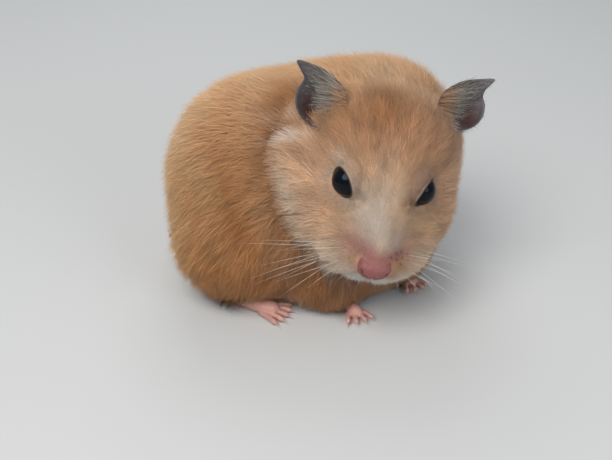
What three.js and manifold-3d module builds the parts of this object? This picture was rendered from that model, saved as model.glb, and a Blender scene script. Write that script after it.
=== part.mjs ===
// Syrian hamster, life size, crouched on the floor with its head turned to its right and bent down.
// Millimetres, +Z up. The trunk lies along X with the chest towards +X, and the head looks towards -Y.
// Every solid is the animal in its coat: the surfaces run through the tips of the fur.
import * as THREE from "three";
import { mergeVertices } from "three/addons/utils/BufferGeometryUtils.js";
import Module from "manifold-3d";

const wasm = await Module();
wasm.setup();

// ---- Driving sizes -------------------------------------------------------------------------

const BACK_HEIGHT = 54; // floor to the top of the arched back
const TRUNK_LENGTH = 76;
const TRUNK_WIDTH = 56;
const HEAD_LENGTH = 44;
const HEAD_WIDTH = 40;
const EYE_RADIUS = 3.5;
const EAR_HEIGHT = 15;
const FORE_FOOT_LENGTH = 11;
const HIND_FOOT_LENGTH = 18;
const TAIL_LENGTH = 11;

const PARTING = 0.3; // gap left at each cut between two parts
const BLEND = 3.2; // how softly one mass of flesh runs into the next on the body
const FACE_BLEND = 2; // the same on the head
const FLOOR = 0;

// ---- Making and cutting solids -------------------------------------------------------------

const radians = (degrees) => degrees.map(THREE.MathUtils.degToRad);

// Where something stands: a place, and turns about X, Y and Z in degrees, the Y turn made first.
function placing(at, [aboutX, aboutY, aboutZ] = [0, 0, 0]) {
  const turn = new THREE.Euler(...radians([aboutX, aboutY, aboutZ]), "ZXY");
  return new THREE.Matrix4().makeRotationFromEuler(turn).setPosition(...at);
}

// An ellipsoid of flesh: gives the distance of a point from its surface, minus inside.
function mass(at, half, turn) {
  const inwards = placing(at, turn).invert();
  const local = new THREE.Vector3();
  const scale = new THREE.Vector3(...half);
  return (point) => {
    local.copy(point).applyMatrix4(inwards).divide(scale);
    const reach = local.length();
    const slope = local.divide(scale).length();
    return slope < 1e-9 ? -Math.min(...half) : (reach * (reach - 1)) / slope;
  };
}

// The same mass on the right and, mirrored, on the left.
const bothSides = ([x, y, z], half, [aboutX, aboutY, aboutZ] = [0, 0, 0]) => [
  mass([x, y, z], half, [aboutX, aboutY, aboutZ]),
  mass([-x, y, z], half, [aboutX, -aboutY, -aboutZ]),
];

// Several masses that run smoothly into each other.
function flesh(masses, softness = BLEND) {
  return (point) => {
    const sum = masses.reduce((total, distance) => total + Math.exp(-distance(point) / softness), 0);
    return -softness * Math.log(sum);
  };
}

// A ball of even triangles with shared corners.
function ball(radius, detail) {
  const sphere = new THREE.IcosahedronGeometry(radius, detail);
  sphere.deleteAttribute("normal");
  sphere.deleteAttribute("uv");
  return mergeVertices(sphere);
}

// Shrink-wraps a ball of triangles round a shape: each corner goes out from the middle to the surface.
function wrap(distance, middle, detail, grow = 0) {
  const FARTHEST = 90;
  const HALVINGS = 22;
  const geometry = ball(1, detail);
  const corners = geometry.getAttribute("position");
  const centre = new THREE.Vector3(...middle);
  const way = new THREE.Vector3();
  const point = new THREE.Vector3();
  for (let i = 0; i < corners.count; i++) {
    way.fromBufferAttribute(corners, i).normalize();
    let inside = 0;
    let outside = FARTHEST;
    for (let n = 0; n < HALVINGS; n++) {
      const half = (inside + outside) / 2;
      point.copy(centre).addScaledVector(way, half);
      if (distance(point) < grow) inside = half;
      else outside = half;
    }
    corners.setXYZ(i, ...point.copy(centre).addScaledVector(way, inside));
  }
  return geometry;
}

// A closed geometry, moved by a matrix if there is one, as a solid that can be cut.
function solid(geometry, matrix = new THREE.Matrix4()) {
  const bare = geometry.clone();
  bare.deleteAttribute("normal");
  bare.deleteAttribute("uv");
  const closed = mergeVertices(bare.applyMatrix4(matrix));
  const made = new wasm.Mesh({
    numProp: 3,
    vertProperties: new Float32Array(closed.getAttribute("position").array),
    triVerts: new Uint32Array(closed.index.array),
  });
  return new wasm.Manifold(made);
}

// A solid ellipsoid, made larger all round by "grow".
function pebble(at, half, turn, detail = 3, grow = 0) {
  const scale = new THREE.Matrix4().makeScale(...half.map((size) => size + grow));
  return solid(ball(1, detail), placing(at, turn).multiply(scale));
}

const largest = (shape) => shape.decompose().sort((a, b) => b.volume() - a.volume())[0];
const joined = (solids) => solids.reduce((whole, next) => whole.add(next));
const moved = (shape, matrix) => shape.transform(matrix.elements);

// A large block from a height upwards, which cuts a shape flat where it stands on the floor.
function above(height) {
  const SIDE = 400;
  return solid(new THREE.BoxGeometry(SIDE, SIDE, SIDE), placing([0, 0, height + SIDE / 2]));
}
const room = above(FLOOR);

function mesh(name, shape, material) {
  const { vertProperties, triVerts } = largest(shape).getMesh();
  const geometry = new THREE.BufferGeometry();
  geometry.setAttribute("position", new THREE.BufferAttribute(vertProperties, 3));
  geometry.setIndex(new THREE.BufferAttribute(triVerts, 1));
  geometry.computeVertexNormals();
  const made = new THREE.Mesh(geometry, material);
  made.name = name;
  return made;
}

// ---- Materials -----------------------------------------------------------------------------

const finish = (color, roughness) => new THREE.MeshStandardMaterial({ color, roughness, metalness: 0 });
const fur = finish("#c08a5c", 0.9);
const earSkin = finish("#6b6060", 0.7);
const noseSkin = finish("#b8686c", 0.55);
const footSkin = finish("#cf9a8e", 0.6);
const eyeGloss = finish("#0a0a0e", 0.05);

// ---- Head: modelled level, nose towards -Y and its left towards +X, then bent as a group ---

const HEAD_PLACE = [0.4, 0, 37];
const HEAD_TURN = [26, 10, -2.5]; // bent down, tipped towards its left, turned
const headPlacing = placing(HEAD_PLACE, HEAD_TURN);

const NOSE_TIP = [0, -0.61 * HEAD_LENGTH, -5];
const EYE = [7.9, -0.21 * HEAD_LENGTH, 4.8];

const headFlesh = flesh([
  mass([1.5, 6, -0.5], [0.45 * HEAD_WIDTH, 16.5, 13.5]), // crown
  mass([2, 12, -3], [0.46 * HEAD_WIDTH, 11, 14]), // nape
  mass([0, -12.8, -2.2], [5, 12, 5.5]), // bridge of the nose
  mass([0, -14.8, -8], [9.2, 9.5, 6.5]), // muzzle
  mass([0, -13, -13.2], [7, 9, 4.5]), // lower jaw
  mass([-9.5, -2, -5], [9.5, 13.5, 11]), // right cheek
  mass([9.8, -3.8, -7], [9.8, 13.5, 11]), // left cheek, with the fuller pouch
  ...bothSides([6.2, -17.6, -9.4], [6, 5.5, 5]), // whisker pads
  ...bothSides([4.5, -7, 5.2], [3.2, 6, 3.2]), // brows
], FACE_BLEND);
const HEAD_MIDDLE = [0, 0, -1];
const headWrap = (detail, grow) => solid(wrap(headFlesh, HEAD_MIDDLE, detail, grow));

const eyeball = (side, grow = 0) =>
  solid(ball(EYE_RADIUS + grow, 2), placing([side * EYE[0], EYE[1], EYE[2]]));

const NOSE_MIDDLE = [0, NOSE_TIP[1] + 3.4, NOSE_TIP[2] + 0.4];
const noseFlesh = flesh([
  mass([0, NOSE_TIP[1] + 2.6, NOSE_TIP[2] - 0.4], [4.1, 2.7, 2.9]), // pad with the nostrils
  mass([0, NOSE_TIP[1] + 4.4, NOSE_TIP[2] + 1.6], [3.4, 3.4, 2.1]), // bare skin above it
], 0.8);
const noseWrap = (grow) => solid(wrap(noseFlesh, NOSE_MIDDLE, 2, grow));

// The ear as a leaf seen from the front: x outwards, y up, from the root of its front edge round the tip.
const EAR_LEAF = [
  [-0.25, 0.1], [-0.21, 0.33], [-0.02, 0.55], [0.19, 0.68], [0.53, 0.77], // front edge up to the tip
  [0.41, 0.5], // notch where the tip folds over
  [0.51, 0.34], [0.53, 0.13], [0.44, -0.06], [0.27, -0.18], [0.09, -0.21], [-0.12, -0.12], // back edge
].map(([x, y]) => new THREE.Vector3(x, y, 0).multiplyScalar(EAR_HEIGHT));
const earEdge = new THREE.CatmullRomCurve3(EAR_LEAF, true, "catmullrom", 0.5);

// A point of the ear's thin cup: round the edge by "turn" and out from the root by "out", both 0 to 1.
function earPoint(turn, out, lift) {
  const CUP = 3.4;
  const edge = earEdge.getPoint(turn);
  return new THREE.Vector3(edge.x * out, edge.y * out, CUP * (out * out - 1) + lift);
}

function earCup(thickness) {
  const ROUND = 22;
  const RINGS = 4;
  const places = [];
  const faces = [];
  const sheet = (lift) => {
    const first = places.length;
    places.push(earPoint(0, 0, lift));
    for (let ring = 1; ring <= RINGS; ring++) {
      for (let step = 0; step < ROUND; step++) places.push(earPoint(step / ROUND, ring / RINGS, lift));
    }
    return (ring, step) => (ring === 0 ? first : first + 1 + (ring - 1) * ROUND + (step % ROUND));
  };
  const front = sheet(thickness / 2);
  const back = sheet(-thickness / 2);
  for (let step = 0; step < ROUND; step++) {
    for (let ring = 0; ring < RINGS; ring++) {
      for (const [at, flip] of [[front, true], [back, false]]) {
        const [a, b] = [at(ring, step), at(ring + 1, step)];
        const [c, d] = [at(ring + 1, step + 1), at(ring, step + 1)];
        const pair = ring === 0 ? [[a, b, c]] : [[a, b, c], [a, c, d]];
        for (const [p, q, r] of pair) faces.push(...(flip ? [p, r, q] : [p, q, r]));
      }
    }
    const [a, b] = [front(RINGS, step), front(RINGS, step + 1)];
    const [c, d] = [back(RINGS, step + 1), back(RINGS, step)];
    faces.push(a, b, c, a, c, d);
  }
  const geometry = new THREE.BufferGeometry().setFromPoints(places);
  geometry.setIndex(faces);
  return geometry;
}

// The ears are held differently. "root" is the foot of the ear, "stand" turns the leaf up from lying
// back along the head, "spin" turns it in its own plane, in degrees, and "size" crumples it a little.
const EAR_POSE = {
  right: { side: -1, root: [-12.6, 6.8, 7.2], stand: 45, spin: -6, size: 1 },
  left: { side: 1, root: [14.9, 10.4, 8.2], stand: 30, spin: -10, size: 0.92 },
};
const EAR_THICKNESS = 0.8;

function ear({ side, root, stand, spin, size }, thickness = EAR_THICKNESS) {
  const mirror = new THREE.Matrix4().makeScale(side * size, size, size);
  const turn = placing([0, 0, 0], [stand, 0, 0]).multiply(placing([0, 0, 0], [0, 0, spin]));
  return moved(solid(earCup(thickness)), placing(root).multiply(mirror).multiply(turn));
}

const rightEarRoom = ear({ ...EAR_POSE.right, size: 1.05 }, EAR_THICKNESS + 2 * PARTING);
const sockets = joined([eyeball(-1, PARTING), eyeball(1, PARTING)]);
const headRoom = headWrap(4, 2.5 * PARTING);

const headGroup = new THREE.Group();
headGroup.position.set(...HEAD_PLACE);
headGroup.rotation.set(...radians(HEAD_TURN), "ZXY");
headGroup.add(
  mesh("head", headWrap(7, 0).subtract(sockets).subtract(noseWrap(PARTING)), fur),
  mesh("eye_right", eyeball(-1), eyeGloss),
  mesh("eye_left", eyeball(1), eyeGloss),
  mesh("nose", noseWrap(0), noseSkin),
  mesh("ear_right", ear(EAR_POSE.right).subtract(headRoom), earSkin),
  mesh("ear_left", ear(EAR_POSE.left).subtract(headRoom), earSkin),
);

// ---- Feet: toes towards -Y, then turned to where the foot points -----------------------------

const FOOT_SINK = 0.3; // how much of each round underside is cut flat on the floor

// A toe with its claw along -Y, from the root at 0: a small five-sided turned form.
function toe(length, thick) {
  const SIDES = 5;
  const outline = [[0, 0], [0.5, 0.3], [0.44, 0.72], [0.15, 0.84], [0, 1.15]].map(
    ([out, along]) => new THREE.Vector2(out * thick, along * length),
  );
  return new THREE.LatheGeometry(outline, SIDES).rotateX(Math.PI);
}

// A foot's sole with its toes; "turn" is the heading.
function foot({ at: [x, y], turn, length, width, toes }) {
  const SPREAD = 50; // degrees from the first toe to the last
  const toeLength = 0.32 * length + 0.35 * width;
  const toeThick = 0.27 * width;
  const soleHalf = [width / 2, 0.36 * length, 0.09 * length + 0.7];
  const pieces = [pebble([0, 0, soleHalf[2] - FOOT_SINK], soleHalf, [0, 0, 0], 1)];
  for (let n = 0; n < toes; n++) {
    const across = n / (toes - 1) - 0.5;
    const root = [across * 0.56 * width, -0.12 * length, 0.5 * toeThick - FOOT_SINK];
    pieces.push(solid(toe(toeLength, toeThick), placing(root, [0, 0, SPREAD * across])));
  }
  return moved(joined(pieces), placing([x, y, 0], [0, 0, turn]));
}

const FEET = {
  forefoot_right: { at: [-5, -5], turn: 20, length: FORE_FOOT_LENGTH, width: 5, toes: 4 },
  forefoot_left: { at: [9, 8], turn: 32, length: FORE_FOOT_LENGTH, width: 5, toes: 4 },
  hindfoot_right: { at: [-29, -4], turn: 65, length: HIND_FOOT_LENGTH, width: 5.6, toes: 5 },
  hindfoot_left: { at: [-20, 40], turn: 110, length: HIND_FOOT_LENGTH, width: 5.6, toes: 5 },
};

// The hollow in the coat over each foot.
const footRoom = ({ at: [x, y], turn, length, width }) =>
  pebble([x, y, 0], [0.62 * width, 0.7 * length, 0.18 * length + 1.8], [0, 0, turn], 2);
const feetRoom = joined(Object.values(FEET).map(footRoom));

// ---- Tail: a short tapering stub, low at the end of the rump ---------------------------------

const TAIL_ROOT = [-43, 19.5, 7];
const TAIL_TURN = [12, 0, -112]; // down, turned
const TAIL_SIDES = 10;

function tail(grow = 0) {
  const outline = [[2.6, 0], [2.4, 0.3], [1.9, 0.6], [1.2, 0.85], [0.6, 0.97]].map(
    ([out, along]) => new THREE.Vector2(out + grow, along * TAIL_LENGTH - grow),
  );
  const tip = new THREE.Vector2(0, 1.02 * TAIL_LENGTH + grow);
  const form = new THREE.LatheGeometry([new THREE.Vector2(0, -grow), ...outline, tip], TAIL_SIDES);
  return solid(form.rotateX(Math.PI), placing(TAIL_ROOT, TAIL_TURN));
}

// ---- Trunk, neck and legs: one whole body, parted by thin curved cuts ----------------------

const MID_HEIGHT = BACK_HEIGHT / 2;
const HALF_WIDTH = TRUNK_WIDTH / 2;
const HALF_LENGTH = TRUNK_LENGTH / 2;

const bodyFlesh = flesh([
  mass([-27, 16, MID_HEIGHT], [0.63 * HALF_LENGTH, 0.92 * HALF_WIDTH, 25]), // rump
  mass([-10, 22, MID_HEIGHT], [24, 24, 26]), // loin
  mass([4, 22, 34], [18.5, 20, 20]), // shoulders
  mass([-1.5, 9, 19], [15, 15, 18]), // chest
  mass([-12, 16, 9], [24, 16, 12]), // belly, pressed flat on the floor
  mass([-10, 1, 27], [19, 14, 16.5]), // neck and its ruff
  mass([-33, 2, 15], [15, 14, 14]), // right haunch
  mass([-27, 30, 15], [15, 14, 14]), // left haunch
  mass([-11, -2, 9], [8.5, 8, 10]), // right upper arm
  mass([7.5, 12, 12], [8, 9, 10]), // left upper arm
]);
const BODY_MIDDLE = [-12, 14, 26];

const headInBody = moved(headRoom, headPlacing);
const body = solid(wrap(bodyFlesh, BODY_MIDDLE, 7))
  .intersect(room)
  .subtract(headInBody)
  .subtract(moved(rightEarRoom, headPlacing))
  .subtract(feetRoom);

// The blocks of the body that belong to each leg and to the neck. Most of each block lies outside the
// body, so that its surface crosses the coat squarely.
const LEGS = {
  hindleg_right: [[-37.5, -10, 10], [16, 21, 17]],
  hindleg_left: [[-29, 46, 10], [16, 22, 17]],
  foreleg_right: [[-11, -9, 7], [8, 14, 12]],
  foreleg_left: [[15, 9, 8], [10, 10, 12]],
};
const NECK = [[-1, -14, 33], [25, 36, 23]];
const block = ([at, half], grow = 0) => pebble(at, half, [0, 0, 0], 2, grow);
const legsRoom = joined(Object.values(LEGS).map((sizes) => block(sizes, PARTING)));
const legless = body.subtract(legsRoom);

const hamster = new THREE.Group();
hamster.add(
  headGroup,
  mesh("neck", legless.intersect(block(NECK)), fur),
  mesh("trunk", legless.subtract(block(NECK, PARTING)).subtract(tail(PARTING)), fur),
  mesh("tail", tail().subtract(legsRoom), fur),
  ...Object.entries(LEGS).map(([name, sizes]) => mesh(name, body.intersect(block(sizes)), fur)),
  ...Object.entries(FEET).map(([name, sizes]) => mesh(name, foot(sizes).intersect(room), footSkin)),
);

// The origin is the middle of the animal, on the floor.
const extent = new THREE.Box3().setFromObject(hamster, true);
const middle = extent.getCenter(new THREE.Vector3());
hamster.position.set(-middle.x, -middle.y, -extent.min.z);

export default hamster;
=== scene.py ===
import math

import bmesh
import bpy
import numpy as np
from mathutils import Euler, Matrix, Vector
from mathutils.bvhtree import BVHTree


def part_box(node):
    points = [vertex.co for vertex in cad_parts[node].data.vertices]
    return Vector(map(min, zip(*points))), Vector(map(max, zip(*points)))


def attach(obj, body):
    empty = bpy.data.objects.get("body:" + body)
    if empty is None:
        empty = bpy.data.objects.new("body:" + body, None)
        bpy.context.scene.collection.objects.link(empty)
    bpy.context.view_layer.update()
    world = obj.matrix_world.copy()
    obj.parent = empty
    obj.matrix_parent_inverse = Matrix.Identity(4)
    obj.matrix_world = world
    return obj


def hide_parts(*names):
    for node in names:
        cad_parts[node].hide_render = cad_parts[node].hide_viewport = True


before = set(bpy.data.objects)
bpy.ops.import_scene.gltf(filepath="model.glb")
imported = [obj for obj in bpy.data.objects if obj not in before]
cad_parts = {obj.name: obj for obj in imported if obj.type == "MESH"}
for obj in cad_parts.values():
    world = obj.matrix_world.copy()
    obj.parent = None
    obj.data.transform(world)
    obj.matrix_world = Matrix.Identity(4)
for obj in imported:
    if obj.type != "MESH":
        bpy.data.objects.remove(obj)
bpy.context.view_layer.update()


# ==== Where the head is =====================================================================
# The head is turned and bent on the neck. Its own axes run through the two eyes and the nose:
# x to the animal's left, y backwards and z up, from the point between the eyes.
MM = 0.001
NOSE_BELOW_LEVEL = 32.94  # degrees from the level of the head down to the line eyes to nose


def middle(node):
    """The centre of a node's box."""
    low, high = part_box(node)
    return (np.array(low) + np.array(high)) / 2


def unit(rows):
    """Each row divided by its own length."""
    return rows / np.maximum(np.linalg.norm(rows, axis=-1, keepdims=True), 1e-12)


def square_to(ways, axes):
    """What is left of each way when its part along the axis is taken off."""
    return ways - (ways * axes).sum(-1, keepdims=True) * axes


between_eyes = (middle("eye_right") + middle("eye_left")) / 2
head_left = unit(middle("eye_left") - middle("eye_right"))
towards_nose = unit(square_to(middle("nose") - between_eyes, head_left))
over_nose = np.cross(head_left, -towards_nose)
drop = math.radians(NOSE_BELOW_LEVEL)
head_back = -(math.cos(drop) * towards_nose + math.sin(drop) * over_nose)
head_up = np.cross(head_left, head_back)
HEAD_AXES = np.array([head_left, head_back, head_up])


def on_head(place):
    """A point or points given in the head's own axes in millimetres, in the model's frame."""
    return between_eyes + MM * np.asarray(place, float) @ HEAD_AXES


def in_head(points):
    """Points of the model's frame in the head's own axes, in millimetres."""
    return (points - between_eyes) @ HEAD_AXES.T / MM


def head_way(way):
    """A direction given in the head's own axes, in the model's frame."""
    return np.asarray(way, float) @ HEAD_AXES


# ==== Camera, floor and light ===============================================================
# The animal crouches on a pale matt floor and is seen from in front of its face and a little
# above. A large soft lamp hangs high on the left of the view, a weaker one fills from the right,
# and two more put a glint in the eyes and light the back.
CAMERA_FROM_EYES = np.array([-16.9, -170.2, 87.0]) * MM
CAMERA_DOWN = 30.0  # degrees
LENS, SENSOR = 51.77, 36.0  # mm
FLOOR_HALF = 3.0
FLOOR_COLOUR = (0.62, 0.62, 0.61)
SKY_COLOUR, SKY_STRENGTH = (0.80, 0.86, 0.92, 1), 0.36
# name, place from the point between the eyes in mm, width in mm, power in watts, colour
LAMPS = [
    ("lamp_key", (-190, -300, 430), 420, 2.6, (1.0, 0.98, 0.95)),
    ("lamp_fill", (330, -330, 180), 300, 0.55, (0.96, 0.97, 1.0)),
    ("lamp_glint", (150, -260, 240), 40, 0.05, (0.55, 0.75, 1.0)),
    ("lamp_back", (-60, 420, 360), 360, 0.8, (0.95, 0.97, 1.0)),
]


def linked(name, data):
    """A new object that holds the data, in the scene."""
    made = bpy.data.objects.new(name, data)
    bpy.context.scene.collection.objects.link(made)
    return made


def principled(name, colour, roughness, specular):
    """A new material and its one Principled shader."""
    material = bpy.data.materials.new(name)
    material.use_nodes = True
    shader = material.node_tree.nodes["Principled BSDF"]
    shader.inputs["Base Color"].default_value = (*colour, 1)
    shader.inputs["Roughness"].default_value = roughness
    shader.inputs["Specular IOR Level"].default_value = specular
    return material, shader


lens = bpy.data.cameras.new("camera")
lens.lens = LENS
lens.sensor_width = SENSOR
lens.clip_start = 5 * MM
camera = linked("camera", lens)
camera.location = Vector(between_eyes + CAMERA_FROM_EYES)
camera.rotation_euler = Euler((math.radians(90 - CAMERA_DOWN), 0, 0))
bpy.context.scene.camera = camera

floor_mesh = bpy.data.meshes.new("floor")
floor_corners = FLOOR_HALF * np.array([(-1, -1, 0), (1, -1, 0), (1, 1, 0), (-1, 1, 0)])
floor_mesh.from_pydata(floor_corners.tolist(), [], [(0, 1, 2, 3)])
floor_mesh.materials.append(principled("floor_matt", FLOOR_COLOUR, 0.9, 0.2)[0])
floor = linked("floor", floor_mesh)

for name, place, width, power, colour in LAMPS:
    glow = bpy.data.lights.new(name, "AREA")
    glow.shape = "DISK"
    glow.size = width * MM
    glow.energy = power
    glow.color = colour
    lamp = linked(name, glow)
    lamp.location = Vector(between_eyes + np.array(place) * MM)
    lamp.rotation_euler = Vector(place).to_track_quat("Z", "Y").to_euler()

sky = bpy.data.worlds.new("studio")
sky.use_nodes = True
sky.node_tree.nodes["Background"].inputs["Color"].default_value = SKY_COLOUR
sky.node_tree.nodes["Background"].inputs["Strength"].default_value = SKY_STRENGTH
bpy.context.scene.world = sky
bpy.context.scene.view_settings.view_transform = "Standard"


# ==== How the coat grows ====================================================================
# A hamster's coat is short and close on the face and feet and deep and soft on the body. It
# grows backwards from the nose, round the eyes, over the crown and the back, and hangs lower
# down the sides. Each row tells the coat round one place; between places it changes smoothly.
COLOURS = {
    "apricot": (0.66, 0.36, 0.165),
    # The next two lighter colours are painted light: the coat's apricot and gold made lighter where
    # the lamps fall on it.
    "lit_peach": (0.78, 0.47, 0.24),
    "lit_honey": (0.78, 0.50, 0.28),
    "gold": (0.66, 0.40, 0.21),
    "amber": (0.47, 0.195, 0.055),
    "fawn": (0.69, 0.44, 0.285),
    "sand": (0.59, 0.345, 0.19),
    "tan": (0.54, 0.30, 0.167),
    "chestnut": (0.47, 0.255, 0.145),
    "cream": (0.76, 0.58, 0.41),
    "pale": (0.66, 0.53, 0.41),
    "dove": (0.57, 0.49, 0.41),
    "white": (0.93, 0.90, 0.85),
    "rust": (0.46, 0.21, 0.08),
    "umber": (0.35, 0.155, 0.06),
    "olive": (0.38, 0.26, 0.15),
    "pink": (0.46, 0.20, 0.16),
    "flesh": (0.33, 0.12, 0.115),
    "ash": (0.47, 0.38, 0.30),
    "soot": (0.27, 0.185, 0.14),
}

# In the head's axes in mm: place, spread, depth, length, lift in degrees, lie, colour. A place
# off the middle stands for both sides.
HEAD_COAT = [
    ((0, -16, -5.5), 1.6, 0.3, 0.9, 20, (0, 0.6, 0.8), "pink"),
    ((0, -12.4, -3), 2.4, 0.45, 1.5, 20, (0, 0.7, 0.6), "dove"),
    ((0, -7.3, -0.5), 3.2, 0.6, 2.0, 20, (0, 0.8, 0.5), "pale"),
    ((0, -1, 3), 3.6, 0.8, 2.6, 20, (0, 0.95, 0.3), "sand"),
    ((0, 8, 7), 5.0, 1.3, 3.4, 24, (0, 1, 0.2), "chestnut"),
    ((0, 17, 8), 6.0, 1.9, 4.4, 23, (0, 1, 0), "chestnut"),
    ((0, 27, 4), 7.0, 2.6, 5.2, 22, (0, 1, 0), "gold"),
    ((7.5, 5, 4.5), 3.4, 0.8, 2.4, 20, (0.45, 0.9, 0.2), "sand"),
    ((6, -6, -1.5), 2.4, 0.5, 1.6, 18, (0.45, 0.75, 0.1), "pale"),
    ((9.5, -7.5, -4.5), 2.8, 0.7, 2.1, 19, (0.8, 0.5, -0.2), "gold"),
    ((12.5, -1, -1), 3.0, 0.8, 2.4, 20, (0.7, 0.7, 0.1), "fawn"),
    ((13.5, -6, -8), 4.0, 1.4, 3.4, 24, (0.8, 0.5, -0.2), "fawn"),
    ((17, 4, -4), 5.0, 2.0, 4.2, 27, (0.75, 0.65, -0.1), "fawn"),
    ((6.5, -13.5, -8.5), 2.4, 0.5, 1.6, 19, (0.85, 0.35, -0.1), "cream"),
    ((10, -11.2, -12.5), 3.0, 0.9, 2.5, 22, (0.8, 0.35, -0.4), "cream"),
    ((4, -15.8, -13.5), 2.2, 0.5, 1.6, 22, (0.5, 0.25, -0.8), "white"),
    ((0, -12.5, -18.5), 3.2, 0.9, 2.4, 22, (0, 0.8, -0.6), "white"),
    # The umber under the chin is partly the chest's darker fur and partly painted shade under the
    # head.
    ((0, -2, -21), 6.0, 2.2, 4.4, 27, (0, 0.9, -0.4), "umber"),
    ((12.5, 12, 4.5), 3.6, 0.9, 2.6, 20, (0.5, 0.85, 0.1), "tan"),
    ((18, 21, 0), 4.0, 1.7, 3.8, 26, (0.5, 0.85, 0), "sand"),
]

# In shares of a node's box from its lowest to its highest corner, and lie in the model's axes.
BODY_COAT = [
    ("trunk", (0.70, 0.60, 1.00), 9, 3.0, 5.8, 33, (-0.6, 0.7, 0), "apricot"),
    ("trunk", (0.45, 0.50, 1.00), 12, 3.0, 5.8, 33, (-1, 0.15, -0.1), "gold"),
    # These two rows make the upper and outer side of the rump lighter where the key lamp falls on
    # it: painted light.
    ("trunk", (0.15, 0.50, 0.85), 12, 3.0, 5.8, 33, (-0.9, 0, -0.5), "lit_honey"),
    ("trunk", (0.00, 0.50, 0.40), 12, 3.0, 5.8, 33, (-0.3, 0, -1), "lit_peach"),
    ("trunk", (0.32, 0.08, 0.62), 8, 2.9, 5.4, 32, (-0.9, 0, -0.5), "apricot"),
    ("trunk", (0.10, 0.12, 0.52), 10, 2.9, 5.6, 33, (-0.6, 0.1, -0.8), "apricot"),
    # The rust, umber and amber rows low on the trunk, on the right hind leg and on the forelegs
    # make the coat darker towards the bottom: partly the fur's own darker colour there and partly
    # painted shade under the body.
    ("trunk", (0.28, 0.02, 0.33), 8, 2.8, 5.2, 32, (-0.4, 0, -0.9), "rust"),
    ("trunk", (0.50, 0.02, 0.25), 7, 2.6, 5.0, 30, (-0.2, 0, -1), "umber"),
    ("trunk", (0.40, 0.95, 0.62), 12, 3.0, 5.8, 33, (-1, 0.1, -0.35), "gold"),
    ("trunk", (0.35, 0.95, 0.25), 10, 2.9, 5.4, 32, (-0.6, 0.1, -0.9), "apricot"),
    ("trunk", (0.95, 0.60, 0.62), 8, 2.8, 5.2, 32, (-0.2, 0.9, -0.3), "gold"),
    ("trunk", (0.85, 0.92, 0.50), 9, 3.0, 5.6, 33, (-0.9, 0.3, -0.4), "gold"),
    ("trunk", (0.92, 0.30, 0.25), 7, 2.5, 4.8, 30, (0.1, 0.3, -1), "umber"),
    ("trunk", (0.72, 0.10, 0.15), 7, 2.3, 4.4, 30, (0, 0, -1), "umber"),
    ("trunk", (0.45, 0.50, 0.00), 14, 2.3, 4.4, 26, (-1, 0, 0), "cream"),
    ("neck", (0.12, 0.10, 0.70), 5, 2.4, 4.6, 28, (-1, 0.1, 0), "sand"),
    ("neck", (0.20, 0.02, 0.35), 5, 2.4, 4.6, 28, (-1, 0, -0.35), "sand"),
    ("hindleg_right", (0.40, 0.10, 0.45), 8, 2.7, 5.0, 31, (-0.3, 0, -0.95), "amber"),
    ("hindleg_right", (0.70, 0.20, 0.10), 5, 1.8, 4.2, 28, (0.1, 0, -1), "amber"),
    ("hindleg_left", (0.40, 0.90, 0.45), 8, 2.7, 5.0, 31, (-0.3, 0.1, -0.95), "apricot"),
    ("hindleg_left", (0.60, 0.90, 0.10), 5, 1.6, 3.4, 28, (-0.2, 0, -1), "apricot"),
    ("foreleg_right", (0.45, 0.10, 0.50), 5, 2.0, 4.0, 28, (-0.2, -0.1, -1), "umber"),
    ("foreleg_right", (0.70, 0.30, 0.10), 4, 0.9, 2.4, 24, (0.2, -0.2, -1), "umber"),
    ("foreleg_left", (0.70, 0.40, 0.50), 5, 2.0, 4.0, 28, (0.2, 0.1, -1), "umber"),
    ("foreleg_left", (0.60, 0.20, 0.10), 4, 0.9, 2.4, 24, (0.2, -0.2, -1), "umber"),
]


def in_box(node, share):
    """The point at the given shares of the way from a node's lowest to its highest corner."""
    low, high = (np.array(corner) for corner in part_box(node))
    return low + np.array(share) * (high - low)


def coat_rows():
    """All the rows as arrays: places, spreads, sizes (depth, length, lift), lies and colours."""
    rows = []
    for (x, y, z), spread, depth, length, lift, (a, b, c), colour in HEAD_COAT:
        for side in (1, -1) if x else (1,):
            place, lie = on_head((side * x, y, z)), head_way((side * a, b, c))
            rows.append((*place, spread * MM, depth * MM, length * MM, math.radians(lift), *lie,
                         *COLOURS[colour]))
    for node, share, spread, depth, length, lift, lie, colour in BODY_COAT:
        rows.append((*in_box(node, share), spread * MM, depth * MM, length * MM,
                     math.radians(lift), *lie, *COLOURS[colour]))
    table = np.array(rows)
    return table[:, :3], table[:, 3], table[:, 4:7], unit(table[:, 7:10]), table[:, 10:]


coat_places, coat_spreads, coat_sizes, coat_lies, coat_colours = coat_rows()


def growing(points):
    """What the coat does at each point: the mean of all rows, each weighed by a bell curve of
    the distance from its place, as (depth, length, lift), lie and colour."""
    squares = ((points[:, None] - coat_places) ** 2).sum(2) / (2 * coat_spreads**2)
    weight = np.exp(squares.min(1, keepdims=True) - squares)
    weight /= weight.sum(1, keepdims=True)
    return weight @ coat_sizes, weight @ coat_lies, weight @ coat_colours


# ==== Skin ==================================================================================
# The bare body under the coat, one closed skin from the lips to the rump. The solids of the
# flesh are swollen till their cuts close, cast as one even surface, eased, and drawn inwards by
# the depth of the coat that grows there.
FLESH = ("head", "neck", "trunk",
         "hindleg_right", "hindleg_left", "foreleg_right", "foreleg_left")
UNDER_SKIN = FLESH + ("eye_right", "eye_left", "nose")
WEAVE = 0.6 * MM  # side of the even squares
CLOSING = 0.25 * MM  # how far the solids swell


def array_of(collection, key, width, kind=np.float32):
    """One property of all the items of a mesh, as rows."""
    values = np.empty(len(collection) * width, kind)
    collection.foreach_get(key, values)
    return values.reshape(-1, width) if width > 1 else values


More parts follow.
